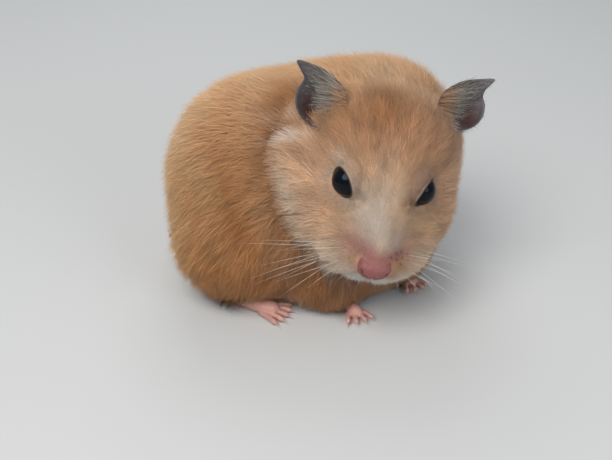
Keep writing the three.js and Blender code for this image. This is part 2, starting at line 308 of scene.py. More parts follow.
def copied(*nodes):
    """Nodes of the frame as one object, with the corners that lie together merged."""
    joined = bmesh.new()
    for node in nodes:
        joined.from_mesh(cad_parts[node].data)
    bmesh.ops.remove_doubles(joined, verts=joined.verts, dist=1e-6)
    data = bpy.data.meshes.new("cast")
    joined.to_mesh(data)
    joined.free()
    return linked("cast", data)


def even_surface(cast, weave, swell=0.0):
    """Swells a closed object and turns it into one closed surface of even squares as wide as the
    weave: its corners and squares. The object itself is used up."""
    push = cast.modifiers.new("swell", "DISPLACE")
    push.mid_level = 0
    push.strength = swell
    even = cast.modifiers.new("even", "REMESH")
    even.mode = "VOXEL"
    even.voxel_size = weave
    finished = cast.evaluated_get(bpy.context.evaluated_depsgraph_get()).data
    corners = array_of(finished.vertices, "co", 3).astype(float)
    squares = array_of(finished.loops, "vertex_index", 1, np.int32).reshape(-1, 4)
    bpy.data.objects.remove(cast)
    return corners, squares


skin_points, squares = even_surface(copied(*UNDER_SKIN), WEAVE, CLOSING)
edges = np.unique(np.sort(np.concatenate(
    [squares[:, [k, (k + 1) % 4]] for k in range(4)]), axis=1), axis=0)
neighbours = np.bincount(edges.ravel(), minlength=len(skin_points))[:, None]


def eased(values, rounds, back=0.0):
    """Each round moves every value half way to its neighbours' mean, then out again by "back"."""
    start, end = edges.T
    for _ in range(rounds):
        for step in (0.5, -back) if back else (0.5,):
            total = np.stack([
                np.bincount(start, values[end, k], len(values))
                + np.bincount(end, values[start, k], len(values))
                for k in range(values.shape[1])], 1)
            values = values + step * (total / neighbours - values)
    return values


def facing(points, squares):
    """The outward direction at each corner: the sum of the crossed diagonals of its squares."""
    crossed = np.cross(points[squares[:, 2]] - points[squares[:, 0]],
                       points[squares[:, 3]] - points[squares[:, 1]])
    total = np.stack([
        sum(np.bincount(squares[:, corner], crossed[:, k], len(points)) for corner in range(4))
        for k in range(3)], 1)
    return unit(total)


def ramp(values, low, high):
    """0 below low and 1 above high, rising smoothly between."""
    share = np.clip((values - low) / (high - low), 0, 1)
    return share * share * (3 - 2 * share)


def bell(values, centre, spread):
    """1 at the centre, falling to both sides as e to the minus square of the distance from it,
    counted in spreads."""
    return np.exp(-(((values - centre) / spread) ** 2))


# ---- The ruff, in which the fur of the cheek and neck ends on the right, where the neck is bent
# The tips of its fur stand over a soft valley in the flank. Its edge is a line on the head's
# side, in the head's axes in mm, seen along one axis.
RUFF_LINE = np.array([(-20, 24, 3), (-24.8, 15, 0.5), (-26.7, 8.8, -0.8), (-27.2, 4.5, -2.6),
                      (-25.6, 0.6, -5), (-23.4, -2.6, -7), (-20.4, -5.8, -9), (-17.4, -8, -11.6),
                      (-14.6, -9.5, -14), (-12.2, -10, -16.5), (-10, -8, -21)])
RUFF_AXIS = unit(np.array([-0.2, -0.65, 0.73]))
RUFF_ACROSS = unit(square_to(np.array([1, 0, 0]), RUFF_AXIS))
RUFF_PLANE = np.stack([RUFF_ACROSS, np.cross(RUFF_AXIS, RUFF_ACROSS)], 1)
RUFF_MIDDLE = np.array([-25.6, 0.6, -5])  # a point of the edge where it counts in full
RUFF_OVERHANG = 4.2  # how far the tips stand out over the edge of their roots, in mm
VALLEY_SHAPE = 1.5, 2.6, 2.6  # depth, place outside the edge, and spread, in mm
SWELL_SHAPE = 0.5, -2.0, 2.4  # height, place and spread of the ruff's own roundness


def from_line(flat, line):
    """How far flat places are from the nearest stretch of a bent line: above 0 on the right of
    the way it runs, and below 0 on the left."""
    nearest = np.full(len(flat), np.inf)
    for start, end in zip(line[:-1], line[1:]):
        step = end - start
        share = np.clip((flat - start) @ step / (step @ step), 0, 1)
        away = flat - start - share[:, None] * step
        distance = np.linalg.norm(away, axis=1)
        sided = np.copysign(distance, away @ np.array([step[1], -step[0]]))
        nearest = np.where(distance < np.abs(nearest), sided, nearest)
    return nearest


def from_ruff(points):
    """How far each point is outside the edge of the ruff's roots in mm, less than 0 on the head's
    side, and how much the ruff counts there: 1 along its edge, 0 at the far side of the body. The
    roots' edge is the tips' edge drawn in by the overhang, and by a quarter of it low down."""
    local = in_head(points)
    overhang = RUFF_OVERHANG * (0.25 + 0.75 * ramp(local[:, 1], -8, 1))
    depth = (local - RUFF_MIDDLE) @ RUFF_AXIS
    counts = ramp(depth, -22, -12) * ramp(-local[:, 0], 4, 9)
    return from_line(local @ RUFF_PLANE, RUFF_LINE @ RUFF_PLANE) + overhang, counts


# ---- The body's facets are eased away and the crown runs smoothly into the back; the face
# keeps its finer forms. Then the skin is drawn in under the coat.
FACE_MIDDLE, FACE_REACH = (0, -8, -5), (12, 20)  # in the head's axes in mm
NAPE, NAPE_SPREAD = np.array([0, 25, 4]), np.array([18, 9, 9])
# Rounds of easing, and the step out again, for the face, the body, the nape and the last touch
FACE_EASING, BODY_EASING, NAPE_EASING, LAST_EASING = (16, 0.52), (60, 0.51), (260,), (4, 0.52)

on_face = 1 - ramp(np.linalg.norm(in_head(skin_points) - FACE_MIDDLE, axis=1), *FACE_REACH)
gentle = eased(skin_points, *FACE_EASING)
round_body = eased(gentle, *BODY_EASING)
skin_points = round_body + on_face[:, None] * (gentle - round_body)
nape = bell(in_head(skin_points), NAPE, NAPE_SPREAD).prod(1)[:, None]
skin_points = skin_points + nape * (eased(skin_points, *NAPE_EASING) - skin_points)
outside, counts = from_ruff(skin_points)
valley = VALLEY_SHAPE[0] * bell(outside, *VALLEY_SHAPE[1:])
valley -= SWELL_SHAPE[0] * bell(outside, *SWELL_SHAPE[1:])
depth = growing(skin_points)[0][:, 0] + CLOSING + MM * valley * counts
skin_points = skin_points - facing(skin_points, squares) * depth[:, None]
skin_points = eased(skin_points, *LAST_EASING)


# ==== Eyes ==================================================================================
# Two glossy black balls that stand out at the sides of the head like beads. Each looks out
# sideways and forwards through a lens-shaped opening, and the skin round it holds the ball.
EYE_RADIUS = (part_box("eye_right")[1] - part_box("eye_right")[0]).x / 2 + 0.03 * MM
EYE_CENTRES = {-1: middle("eye_right"), 1: middle("eye_left")}
GAZE = unit(np.array([0.811, -0.571, 0.130]))  # for the left eye; x turns round for the right
CORNER_LINE = unit(np.array([-0.485, -0.779, -0.398]))  # from the back corner to the front
CORNER_ANGLE = 67  # degrees from the gaze to a corner of the opening
LID_ANGLE = 57  # degrees from the gaze to the middle of a lid
LID_COVER = 0.27 * MM  # how thick the skin is where it runs over the balls
EYE_AROUND, EYE_ALONG = 64, 40
BULGE, BULGE_SPREAD = 0.035, 0.6  # of the clear front: share of the radius, and radians
EYE_BLACK = (0.005, 0.0042, 0.004, 1)
EYE_SHINE = (0.45, 0.68, 1.0, 1)


def eye_axes(side):
    """The gaze, the line to the front corner and the way to the upper lid, as unit rows."""
    turn = np.array([side, 1, 1])
    gaze = head_way(GAZE * turn)
    front = unit(square_to(head_way(CORNER_LINE * turn), gaze))
    upper = np.cross(front, gaze) * side
    return np.array([gaze, front, upper if upper @ head_up > 0 else -upper])


def opening(round_angle):
    """The angle from the gaze to the edge of the lids, all the way round: widest at the two
    corners, from where it narrows as the cube of the cosine."""
    corner = np.abs(np.cos(round_angle)) ** 3
    return np.radians(LID_ANGLE + (CORNER_ANGLE - LID_ANGLE) * corner)


def from_eye(points, side):
    """Where points are, seen from the middle of the eye: the distance, the degrees from the edge
    of the opening outwards, and the angle round the gaze."""
    gaze, front, upper = eye_axes(side)
    away = points - EYE_CENTRES[side]
    reach = np.linalg.norm(away, axis=1)
    off_gaze = np.arccos(np.clip(away @ gaze / reach, -1, 1))
    round_angle = np.arctan2(away @ upper, away @ front)
    return reach, np.degrees(off_gaze - opening(round_angle)), round_angle


def eye_ways(side, off_gaze, round_angle):
    """Unit ways out from the middle of the eye, off its gaze and round it by the angles."""
    parts = np.stack(np.broadcast_arrays(
        np.cos(off_gaze), np.sin(off_gaze) * np.cos(round_angle),
        np.sin(off_gaze) * np.sin(round_angle)), -1)
    return parts @ eye_axes(side)


# The skin is as thick as a lid where it runs over the balls, and passes behind their openings.
for side, centre in EYE_CENTRES.items():
    reach, beyond, _ = from_eye(skin_points, side)
    near = 1 - ramp(reach, EYE_RADIUS + 4 * MM, EYE_RADIUS + 7 * MM)
    behind = np.minimum(reach, EYE_RADIUS - 1 * MM)
    cover = EYE_RADIUS + LID_COVER
    cover = cover + ramp(beyond, 10, 45) * (np.maximum(reach, cover) - cover)
    target = behind + ramp(beyond, 1, 7) * (cover - behind)
    skin_points += unit(skin_points - centre) * (near * (target - reach))[:, None]


def grid_faces(rows, columns):
    """The squares between rows of corners, each row a closed ring."""
    row = np.arange(rows - 1)[:, None] * columns
    column = np.arange(columns)
    after = (column + 1) % columns
    return np.stack([row + column, row + after, row + columns + after, row + columns + column],
                    2).reshape(-1, 4)


def capped_faces(rows, columns):
    """The same squares, and the fans that close the first and the last ring to a corner each, as
    two blocks. Those two corners come after all the rings."""
    step = np.arange(columns)
    after = (step + 1) % columns
    pole, last = rows * columns, (rows - 1) * columns
    fans = np.concatenate([
        np.stack([np.full(columns, pole), after, step], 1),
        np.stack([np.full(columns, pole + 1), last + step, last + after], 1)])
    return [grid_faces(rows, columns), fans]


def strung(values):
    """All the numbers strung one after another, as a mesh takes them."""
    return np.asarray(values, np.float32).ravel()


def give_tint(piece, colour):
    """Stores a colour at each corner of a piece as its "tint"."""
    own = piece.data.attributes.new("tint", "FLOAT_COLOR", "POINT")
    own.data.foreach_set("color", strung(np.column_stack([colour, np.ones(len(colour))])))


def mesh_piece(name, points, blocks, *materials):
    """A new smooth mesh object from corners and blocks of faces."""
    data = bpy.data.meshes.new(name)
    data.from_pydata(points.tolist(), [], sum((block.tolist() for block in blocks), []))
    for material in materials:
        data.materials.append(material)
    data.shade_smooth()
    return linked(name, data)


def closed_piece(name, points, blocks, material, colour=None):
    """A mesh object that is closed, with its faces turned outwards and a colour at each corner."""
    piece = mesh_piece(name, points, blocks, material)
    shape = bmesh.new()
    shape.from_mesh(piece.data)
    bmesh.ops.recalc_face_normals(shape, faces=shape.faces)
    shape.to_mesh(piece.data)
    shape.free()
    if colour is not None:
        give_tint(piece, colour)
    return piece


def eyeball(side):
    """A ball with a slightly steeper clear front: circles round the gaze from pole to pole, each
    farther out by a bell curve of its angle from the gaze."""
    turn = np.linspace(0, 2 * np.pi, EYE_AROUND, endpoint=False)
    off = np.linspace(0, np.pi, EYE_ALONG + 1)[:, None]
    radius = EYE_RADIUS * (1 + BULGE * bell(off, 0, BULGE_SPREAD))
    rings = EYE_CENTRES[side] + eye_ways(side, off, turn) * radius[..., None]
    points = np.concatenate([rings[1:-1].reshape(-1, 3), rings[0, :1], rings[-1, :1]])
    return points, capped_faces(EYE_ALONG - 1, EYE_AROUND)


def fine_grain():
    """The uneven tone and the fine relief that skin, hair and horn all have, as one node group: a
    noise of the given scale makes the colour lighter and darker by the share, and raises it."""
    group = bpy.data.node_groups.new("fine_grain", "ShaderNodeTree")
    for name, way, kind in (("Colour", "INPUT", "Color"), ("Scale", "INPUT", "Float"),
                            ("Share", "INPUT", "Float"), ("Distance", "INPUT", "Float"),
                            ("Colour", "OUTPUT", "Color"), ("Normal", "OUTPUT", "Vector")):
        group.interface.new_socket(name=name, in_out=way, socket_type="NodeSocket" + kind)
    given, result, place, noise, centred, level, mixed, raised = (
        group.nodes.new(kind) for kind in (
            "NodeGroupInput", "NodeGroupOutput", "ShaderNodeTexCoord", "ShaderNodeTexNoise",
            "ShaderNodeMath", "ShaderNodeMath", "ShaderNodeVectorMath", "ShaderNodeBump"))
    noise.inputs["Detail"].default_value = 3
    centred.operation = level.operation = "MULTIPLY_ADD"
    mixed.operation = "SCALE"
    centred.inputs[1].default_value = 2
    centred.inputs[2].default_value = -1
    level.inputs[2].default_value = 1
    for source, taker in (
            (place.outputs["Object"], noise.inputs["Vector"]),
            (given.outputs["Scale"], noise.inputs["Scale"]),
            (noise.outputs["Fac"], centred.inputs[0]),
            (centred.outputs[0], level.inputs[0]),
            (given.outputs["Share"], level.inputs[1]),
            (given.outputs["Colour"], mixed.inputs[0]),
            (level.outputs[0], mixed.inputs["Scale"]),
            (noise.outputs["Fac"], raised.inputs["Height"]),
            (given.outputs["Distance"], raised.inputs["Distance"]),
            (mixed.outputs["Vector"], result.inputs["Colour"]),
            (raised.outputs["Normal"], result.inputs["Normal"])):
        group.links.new(source, taker)
    return group


FINE_GRAIN = fine_grain()


def grained(material, shader, scale, share, distance):
    """Puts the fine grain into a material; returns the socket that takes the colour."""
    nodes, links = material.node_tree.nodes, material.node_tree.links
    grain = nodes.new("ShaderNodeGroup")
    grain.node_tree = FINE_GRAIN
    for name, value in (("Scale", scale), ("Share", share), ("Distance", distance)):
        grain.inputs[name].default_value = value
    links.new(grain.outputs["Colour"], shader.inputs["Base Color"])
    links.new(grain.outputs["Normal"], shader.inputs["Normal"])
    return grain.inputs["Colour"]


eye_black, eye_shader = principled("eye_black", (1, 1, 1), 0.12, 0.2)
eye_shader.inputs["Specular Tint"].default_value = EYE_SHINE
grained(eye_black, eye_shader, 900, 0.6, 0.000002).default_value = EYE_BLACK

for side, node in ((-1, "eye_right"), (1, "eye_left")):
    ball = closed_piece(node + "_ball", *eyeball(side), eye_black)
    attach(ball, "root")
    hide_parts(node)


# ==== Skin, finished ========================================================================
# The lids are bare dark rims of the same skin that hold the balls. The skin carries the coat's
# own colours and markings, darker, as the roots of the hair show against it.
LID_AROUND = 72
# Degrees out from the edge of the opening, and height over the ball in mm
LID_SECTION = np.array([(-4, -0.4), (-0.5, 0.0), (1.0, 0.14), (2.6, 0.25), (4.5, 0.31),
                        (6.5, 0.31), (8.5, 0.27), (11, 0.2), (14, 0.08), (18, -0.15)])
LID_COLOUR = (0.030, 0.025, 0.029)
LID_BARE = 2.8, 5.4  # rows of the section between which the dark rim turns into the fur's colour
SKIN_TONE = (0.80, 0.72, 0.68)  # times the colour of the coat


def lids(side):
    """Rings round the eye: from inside the ball over the rounded edge of the lid, then out under
    the skin of the face."""
    turn = np.linspace(0, 2 * np.pi, LID_AROUND, endpoint=False)
    ways = eye_ways(side, opening(turn) + np.radians(LID_SECTION[:, :1]), turn)
    rings = EYE_CENTRES[side] + ways * (EYE_RADIUS + LID_SECTION[:, 1:, None] * MM)
    points, faces = rings.reshape(-1, 3), grid_faces(len(LID_SECTION), LID_AROUND)
    outwards = ((points - EYE_CENTRES[side]) * facing(points, faces)).sum() > 0
    return points, faces if outwards else faces[:, ::-1]


lid_points, lid_faces = zip(*(lids(side) for side in EYE_CENTRES))
all_points = np.concatenate([skin_points, *lid_points])
all_squares = np.concatenate([squares] + [
    faces + len(skin_points) + number * len(lid_points[0])
    for number, faces in enumerate(lid_faces)])


# ---- The markings, painted the same on skin and coat
# In the head's axes in mm: place, spread, strength, colour, and the sides it is on.
BOTH, LEFT, RIGHT = (1, -1), (1,), (-1,)
MARKINGS = [
    # the bridge of the nose, and the pink round it
    ((0, -10.5, -2), (3.4, 5, 5), 0.75, "dove", LEFT),
    ((0, 0, 3), (2.4, 6, 4), 0.25, "pale", LEFT),
    ((6.4, -11.4, -7.2), (1.8, 2.2, 2.0), 0.7, "pink", BOTH),
    ((4.4, -13.4, -6.6), (2.0, 2.0, 2.2), 0.85, "pink", BOTH),
    ((2.4, -15.6, -6.4), (2.2, 1.8, 2.2), 1.0, "flesh", BOTH),
    ((0, -16.8, -6.2), (2.8, 1.6, 1.7), 1.0, "flesh", LEFT),
    # the crown, the nape and the feet of the ears
    ((-1, 16, 7.8), (4.2, 6, 6), 0.9, "rust", LEFT),
    ((-1.5, 14.5, 7.8), (3.2, 4.5, 6), 0.65, "umber", LEFT),
    ((12.5, 15.5, 3), (2.6, 3, 3), 0.5, "olive", BOTH),
    ((0, 31, 3), (8, 3.6, 4), 0.35, "cream", LEFT),
    ((10, 12, 6), (4, 6, 4), 0.25, "umber", BOTH),
    ((9.3, 14, 5), (3.5, 4.5, 4), 0.3, "umber", RIGHT),
    # the cheeks, and in front of the eyes
    # The tan on the left cheek is painted shade, as that cheek is turned away from the key lamp.
    ((15.8, 0.8, -3.4), (4, 4.5, 4), 0.45, "tan", LEFT),
    # The next two marks lighten the slope beside the bridge of the nose, which lies in shade:
    # painted light.
    ((5, -6, -1.7), (2.6, 3.4, 3), 0.75, "lit_peach", LEFT),
    ((4.4, -7.5, -2.2), (1.8, 2.6, 2.4), 0.35, "cream", LEFT),
    ((12.6, -5.5, -4.8), (3.2, 3.2, 3.4), 0.45, "tan", RIGHT),
    ((17.9, -1.5, -3.6), (4, 4, 4), 0.2, "pale", RIGHT),
    ((14.5, -8.5, -9), (3.5, 3.5, 4), 0.45, "cream", RIGHT),
    ((10.5, -4.5, -4.5), (3.4, 3.0, 3.5), 0.45, "olive", LEFT),
    # the slit behind the right ear
    ((20.2, 10.6, -0.6), (2.8, 1.0, 3), 0.65, "white", RIGHT),
    ((19.6, 14.0, -1.4), (2.4, 1.1, 3), 1.0, "umber", RIGHT),
    ((22.0, 15.6, 0.4), (2.4, 0.9, 3), 0.4, "white", RIGHT),
    # the lip
    ((0, -15.5, -14.0), (9, 2.6, 2.8), 0.95, "white", LEFT),
    ((10, -10.5, -13), (3.6, 4, 3.2), 0.5, "cream", BOTH),
    ((0.4, -16.2, -14.2), (0.8, 1.5, 1.4), 0.6, "pink", LEFT),
    # over the nose, and the whisker pads
    ((1.2, -13, -3.6), (1.4, 1.6, 1.3), 0.6, "cream", LEFT),
    ((3.6, -12.4, -4.2), (2.4, 1.8, 1.4), 0.85, "pale", LEFT),
    ((4.3, -14.6, -7.8), (1.2, 1.6, 1.4), 0.9, "flesh", LEFT),
    ((5.1, -14.2, -9.9), (1.4, 1.8, 1.6), 0.95, "tan", LEFT),
    ((4.1, -15, -12.1), (1.4, 1.5, 1.3), 0.9, "tan", LEFT),
    ((7.2, -13.2, -11), (2, 2, 1.8), 0.55, "sand", LEFT),
    ((5.1, -14.2, -9.8), (1.3, 1.6, 1.5), 0.85, "sand", RIGHT),
    ((3.6, -14.8, -11.7), (1.2, 1.4, 1.2), 0.75, "pink", RIGHT),
    ((7.3, -13.4, -12.8), (2, 2, 1.8), 0.6, "cream", RIGHT),
    # over the eyes
    ((7, 0.2, 2.4), (1.4, 2.2, 2), 0.75, "soot", LEFT),
    ((5.9, -1.3, 1.3), (1.2, 1.6, 1.6), 0.35, "umber", LEFT),
    ((10.2, 2.7, 1.9), (1.9, 1.6, 1.6), 0.7, "dove", RIGHT),
]
# The ring of fur round each eye: its colour and share, the place and spread of the ring in
# degrees outside the opening, and the distances between which it fades, in eye's radii
RING = {-1: ("ash", 0.85), 1: ("soot", 0.8)}
RING_SHAPE = 10, 22
RING_FADE = 1.4, 2.0
# Bands along the ruff: strength, place outside its edge and spread in mm, colour; and the flank
# beyond: strength, where in mm outside the edge it comes in, where it fades, colour
RUFF_STREAK = 0.95, 10.5, 2.6, "rust"
# The umber band over the valley just outside the ruff's edge is painted shade, where the ruff's
# tips overhang the flank.
RUFF_VALLEY_SHADE = 0.75, 3.0, 3.0, "umber"
RUFF_EDGE = 0.95, -1.4, 1.5, "pale"
RUFF_FLANK = 0.35, (1, 6), (12, 22), "rust"
# Bare spots at the roots of the whiskers, in the head's axes in mm, and their strength by side
FOLLICLES = np.array([(3.4, -14.4, -6.6), (4.6, -13.2, -6.2), (5.8, -12.2, -6.4),
                      (4.8, -13.9, -7.8), (6.2, -12.9, -7.8), (7.4, -11.9, -7.6),
                      (6.0, -13.9, -9.2), (7.6, -12.7, -9.0)])
FOLLICLE_SPOTS = {1: 0.9, -1: 0.35}
FOLLICLE_SPREAD = 0.34
FOLLICLE_COLOUR = np.array(COLOURS["umber"]) * 0.4


def blended(colour, share, tint):
    """The colour drawn towards the tint by the share."""
    return colour + share[..., None] * (np.array(tint) - colour)


def marked(points, colour):
    """The colour at each point with the markings laid over it: the flank, the painted shade in the
    valley and the pale edge of the ruff, the spots of the table, the greyish and dark rings round
    the eyes, and the bare spots at the whiskers' roots."""
    local = in_head(points)
    outside, counts = from_ruff(points)
    back = local[:, 1]
    strength, coming, going, tint = RUFF_FLANK
    share = strength * counts * ramp(outside, *coming) * (1 - ramp(outside, *going))
    colour = blended(colour, share, COLOURS[tint])
    for (strength, place, spread, tint), part in (
            (RUFF_STREAK, bell(back, -1, 6)),
            (RUFF_VALLEY_SHADE, 1),
            (RUFF_EDGE, 0.95 - 0.6 * ramp(back, -3, 7))):
        share = strength * counts * part * bell(outside, place, spread)
        colour = blended(colour, share, COLOURS[tint])
    for (x, y, z), spread, strength, tint, sides in MARKINGS:
        for side in sides:
            away = (local - (side * x, y, z)) / spread
            share = strength * np.exp(-(away**2).sum(1) / 2)
            colour = blended(colour, share, COLOURS[tint])
    for side, (tint, strength) in RING.items():
        reach, beyond, round_angle = from_eye(points, side)
        above = 0.7 + 0.3 * ramp(np.sin(round_angle), -0.4, 0.7)
        close = 1 - ramp(reach / EYE_RADIUS, *RING_FADE)
        share = strength * above * close * bell(beyond, *RING_SHAPE)
        colour = blended(colour, share, COLOURS[tint])
    for side, strength in FOLLICLE_SPOTS.items():
        away = np.linalg.norm(local[:, None] - FOLLICLES * (side, 1, 1), axis=2).min(1)
        colour = blended(colour, strength * bell(away, 0, FOLLICLE_SPREAD), FOLLICLE_COLOUR)
    return colour


def tinted(name, roughness, specular, scale, share, distance):
    """A material whose colour is the piece's own "tint", with the fine grain; and its shader."""
    material, shader = principled(name, (1, 1, 1), roughness, specular)
    own = material.node_tree.nodes.new("ShaderNodeAttribute")
    own.attribute_name = "tint"
    colour = grained(material, shader, scale, share, distance)
    material.node_tree.links.new(own.outputs["Color"], colour)
    return material, shader


painted = marked(all_points, growing(all_points)[2]) * SKIN_TONE
lid_row = np.tile(np.repeat(np.arange(len(LID_SECTION)), LID_AROUND), len(lid_points))
painted[len(skin_points):] = blended(
    painted[len(skin_points):], 1 - ramp(lid_row, *LID_BARE), LID_COLOUR)
body_skin = tinted("body_skin", 0.6, 0.3, 1400, 0.15, 0.0001)[0]
skin = mesh_piece("skin", all_points, [all_squares], body_skin)
give_tint(skin, painted)

# An unwrap of the skin's own shape, which the coat's patches are laid on.
bpy.context.view_layer.objects.active = skin
skin.select_set(True)
bpy.ops.object.mode_set(mode="EDIT")
bpy.ops.mesh.select_all(action="SELECT")
bpy.ops.uv.smart_project(angle_limit=math.radians(66), island_margin=0.004)
bpy.ops.object.mode_set(mode="OBJECT")
skin.select_set(False)
skin_uv = array_of(skin.data.uv_layers[0].uv, "vector", 2).reshape(-1, 4, 2)
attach(skin, "root")
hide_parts(*FLESH)


# ==== Coat ==================================================================================
# Tufts of fine hair, each a thin spike with three sides that is rooted in the skin. They lie
# over at their tips, point the way the coat grows and draw together into soft locks, between
# which the darker roots show.
COAT_SEED = 7
HAIRS_ON_FACE = 48000  # straight and short
HAIRS_ON_BODY = 255000  # straight
TUFTS_ON_BODY = 34000  # curved, a little longer and broader
SHORT_COAT = 2.7 * MM  # hair shorter than this is the face's
ROOT_DEPTH = 0.15 * MM  # of a hair's foot under the skin
HAIR_HALF = 0.32, 0.5  # from a hair's middle up and across, in widths
# How much single hairs differ: swerve of the lie, shares of lift, tone and warmth, and length
SWERVE, LIFT_VARIES, TONE_VARIES, WARMTH_VARIES = 0.30, 0.25, 0.11, 0.05
LENGTH_VARIES = 0.7, 1.15
LOCK_SIZE = 2.6 * MM
LOCK_PULL = 0.55 * MM
STREAK = 0.13  # how much lighter and darker the streaks are
PATCH_SIZE = 13 * MM  # of the warmer and cooler parts of the coat
PATCH_WAVES = 8
AT_ROOT = np.array([0.76, 0.70, 0.66])  # times the colour of the coat
AT_TIP = np.array([1.04, 1.05, 1.08])
UNWRAP_PATCH = 0.003  # side of a hair's patch on the skin's unwrap
NOSE_MIDDLE = in_head(middle("nose")[None])[0]
NOSE_BARE = np.array([3.4, 3.6, 3.1])  # half the bare nose's breadth, depth and height in mm
NOSE_DROP = np.array([0, 0, -0.6])

bare_skin = len(skin_points)
skin_points, squares = all_points, all_squares
skin_out = facing(skin_points, squares)
skin_sizes, skin_lie, skin_colour = growing(skin_points)
skin_lie = square_to(skin_lie, skin_out)
skin_lie[:bare_skin] = eased(skin_lie[:bare_skin], 12)
skin_lie = unit(skin_lie)
random = np.random.default_rng(COAT_SEED)


def streaked(rounds):
    """Streaks about 1 mm broad that run with the coat: noise on the skin, of which each round
    takes the mean with the neighbours up and down the lie. Its own spread is 1."""
    even = squares[squares.max(1) < bare_skin]
    start, end = np.concatenate([edges, even[:, [0, 2]], even[:, [1, 3]]]).T
    way = unit(skin_points[end] - skin_points[start])
    along = (way * skin_lie[start]).sum(1) ** 8 + 0.01
    weight = np.bincount(start, along, bare_skin) + np.bincount(end, along, bare_skin)
    values = random.normal(size=bare_skin)
    for _ in range(rounds):
        mean = (np.bincount(start, along * values[end], bare_skin)
                + np.bincount(end, along * values[start], bare_skin)) / weight
        values = 0.4 * values + 0.6 * mean
    return np.concatenate([values / values.std(), np.zeros(len(skin_points) - bare_skin)])[:, None]


skin_streaks = streaked(9)


def clear_of_eyes(points, lie, out):
    """Turns the lie away from the openings of the eyes, and tells which points are bare, and how
    long the hair may be there, from 0.5 at the lids to 1."""
    bare = np.zeros(len(points), bool)
    full = np.ones(len(points))
    for side, centre in EYE_CENTRES.items():
        reach, beyond, _ = from_eye(points, side)
        away = unit(square_to(points - centre, eye_axes(side)[0]))
        away = unit(square_to(away, out))
        close = (1 - ramp(beyond, 6, 50)) * (reach < 2.2 * EYE_RADIUS)
        inward = np.minimum((lie * away).sum(1), 0)
        lie = lie + (close * (0.9 - inward))[:, None] * away
        bare |= (beyond < 3) & (reach < EYE_RADIUS + 0.35 * MM)
        bare |= reach < EYE_RADIUS + 0.08 * MM
        full -= 0.5 * (1 - ramp(beyond, 4, 45)) * (reach < 2 * EYE_RADIUS)
    return unit(lie), bare, full


def off_nose(points):
    """How far a point is off the bare nose, which is an egg round its middle: 0 on the egg, below
    0 inside, and 1 at twice its size."""
    return np.linalg.norm((in_head(points) - NOSE_MIDDLE - NOSE_DROP) / NOSE_BARE, axis=1) - 1


def spread_roots(count, chosen):
    """Evenly strewn places on the chosen skin: the corners of the triangle of each, its three
    shares, and its place on the unwrap."""
    halves = np.concatenate([squares[:, [0, 1, 2]], squares[:, [0, 2, 3]]])
    uv = np.concatenate([skin_uv[:, [0, 1, 2]], skin_uv[:, [0, 2, 3]]])
    a, b, c = (skin_points[halves[:, k]] for k in range(3))
    weight = np.linalg.norm(np.cross(b - a, c - a), axis=1) * chosen[halves].mean(1)
    first = 2 * np.arange(len(squares))
    order = np.argsort(np.concatenate([first, first + 1]))  # the two halves of a square in turn
    total = np.cumsum(weight[order])
    at = (np.arange(count) + random.random(count)) / count * total[-1]
    triangle = order[np.minimum(np.searchsorted(total, at), len(order) - 1)]
    u, v = random.random((2, count))
    fold = u + v > 1
    u[fold], v[fold] = 1 - u[fold], 1 - v[fold]
    share = np.stack([1 - u - v, u, v], 1)
    return halves[triangle], share, (uv[triangle] * share[..., None]).sum(1)


WAVES = 30
wave_way = unit(random.normal(size=(WAVES, 3))) * random.uniform(0.6, 1.5, (WAVES, 1))
wave_start = random.uniform(0, 2 * np.pi, WAVES)


def locks(points):
    """Soft hills about a lock apart, a sum of many waves in all directions: the height, and
    the slope that leads up to the nearest lock."""
    phase = points @ wave_way.T * (2 * np.pi / LOCK_SIZE) + wave_start
    return np.sin(phase).sum(1) / math.sqrt(WAVES), np.cos(phase) @ wave_way / math.sqrt(WAVES)


def spikes(root, out, lie, length, width, lift, pull, rings):
    """Thin spikes with three sides. The spine leaves the root at the lift and bends over to
    half of it; each ring is a flat triangle round the spine, and the last corner is the tip."""
    side = np.cross(out, lie)
    spine, ways = [root], []
    for step in range(rings):
        angle = (lift * (1.35 - 0.9 * (step + 0.5) / rings))[:, None]
        ways.append(np.cos(angle) * lie + np.sin(angle) * out)
        spine.append(spine[-1] + ways[-1] * (length / rings)[:, None])
    spine = [point + pull * (step / rings) ** 2 for step, point in enumerate(spine)]
    corners, faced = [], []
    for step, way in enumerate(ways):
        up = np.cross(way, side)
        up *= np.sign((up * out).sum(1, keepdims=True))
        over = np.cross(way, up)
        thick = width * (0.8 if step == 0 else 1.0)
        for turn in (0, 2 * np.pi / 3, 4 * np.pi / 3):
            ring = HAIR_HALF[0] * math.cos(turn) * up + HAIR_HALF[1] * math.sin(turn) * over
            corners.append(spine[step] + ring * thick[:, None])
            faced.append(unit(0.75 * out + 0.6 * unit(ring)))
    corners.append(spine[-1])
    faced.append(unit(0.9 * out + 0.25 * lie))
    return np.stack(corners, 1), np.stack(faced, 1)


def spike_faces(rings):
    """The triangles of one spike: its base, its sides from ring to ring, and those to the tip."""
    low = (3 * np.arange(rings - 1)[:, None] + np.arange(3)).ravel()
    turn = np.array([1, 1, -2] * (rings - 1), int)  # the step to the next corner of the same ring
    sides = np.stack([low, low + turn, low + 3 + turn, low, low + 3 + turn, low + 3], 1)
    top = 3 * rings - 3
    tip = [(top, top + 1, top + 3), (top + 1, top + 2, top + 3), (top + 2, top, top + 3)]
    return np.concatenate([[(0, 2, 1)], sides.reshape(-1, 3), tip])


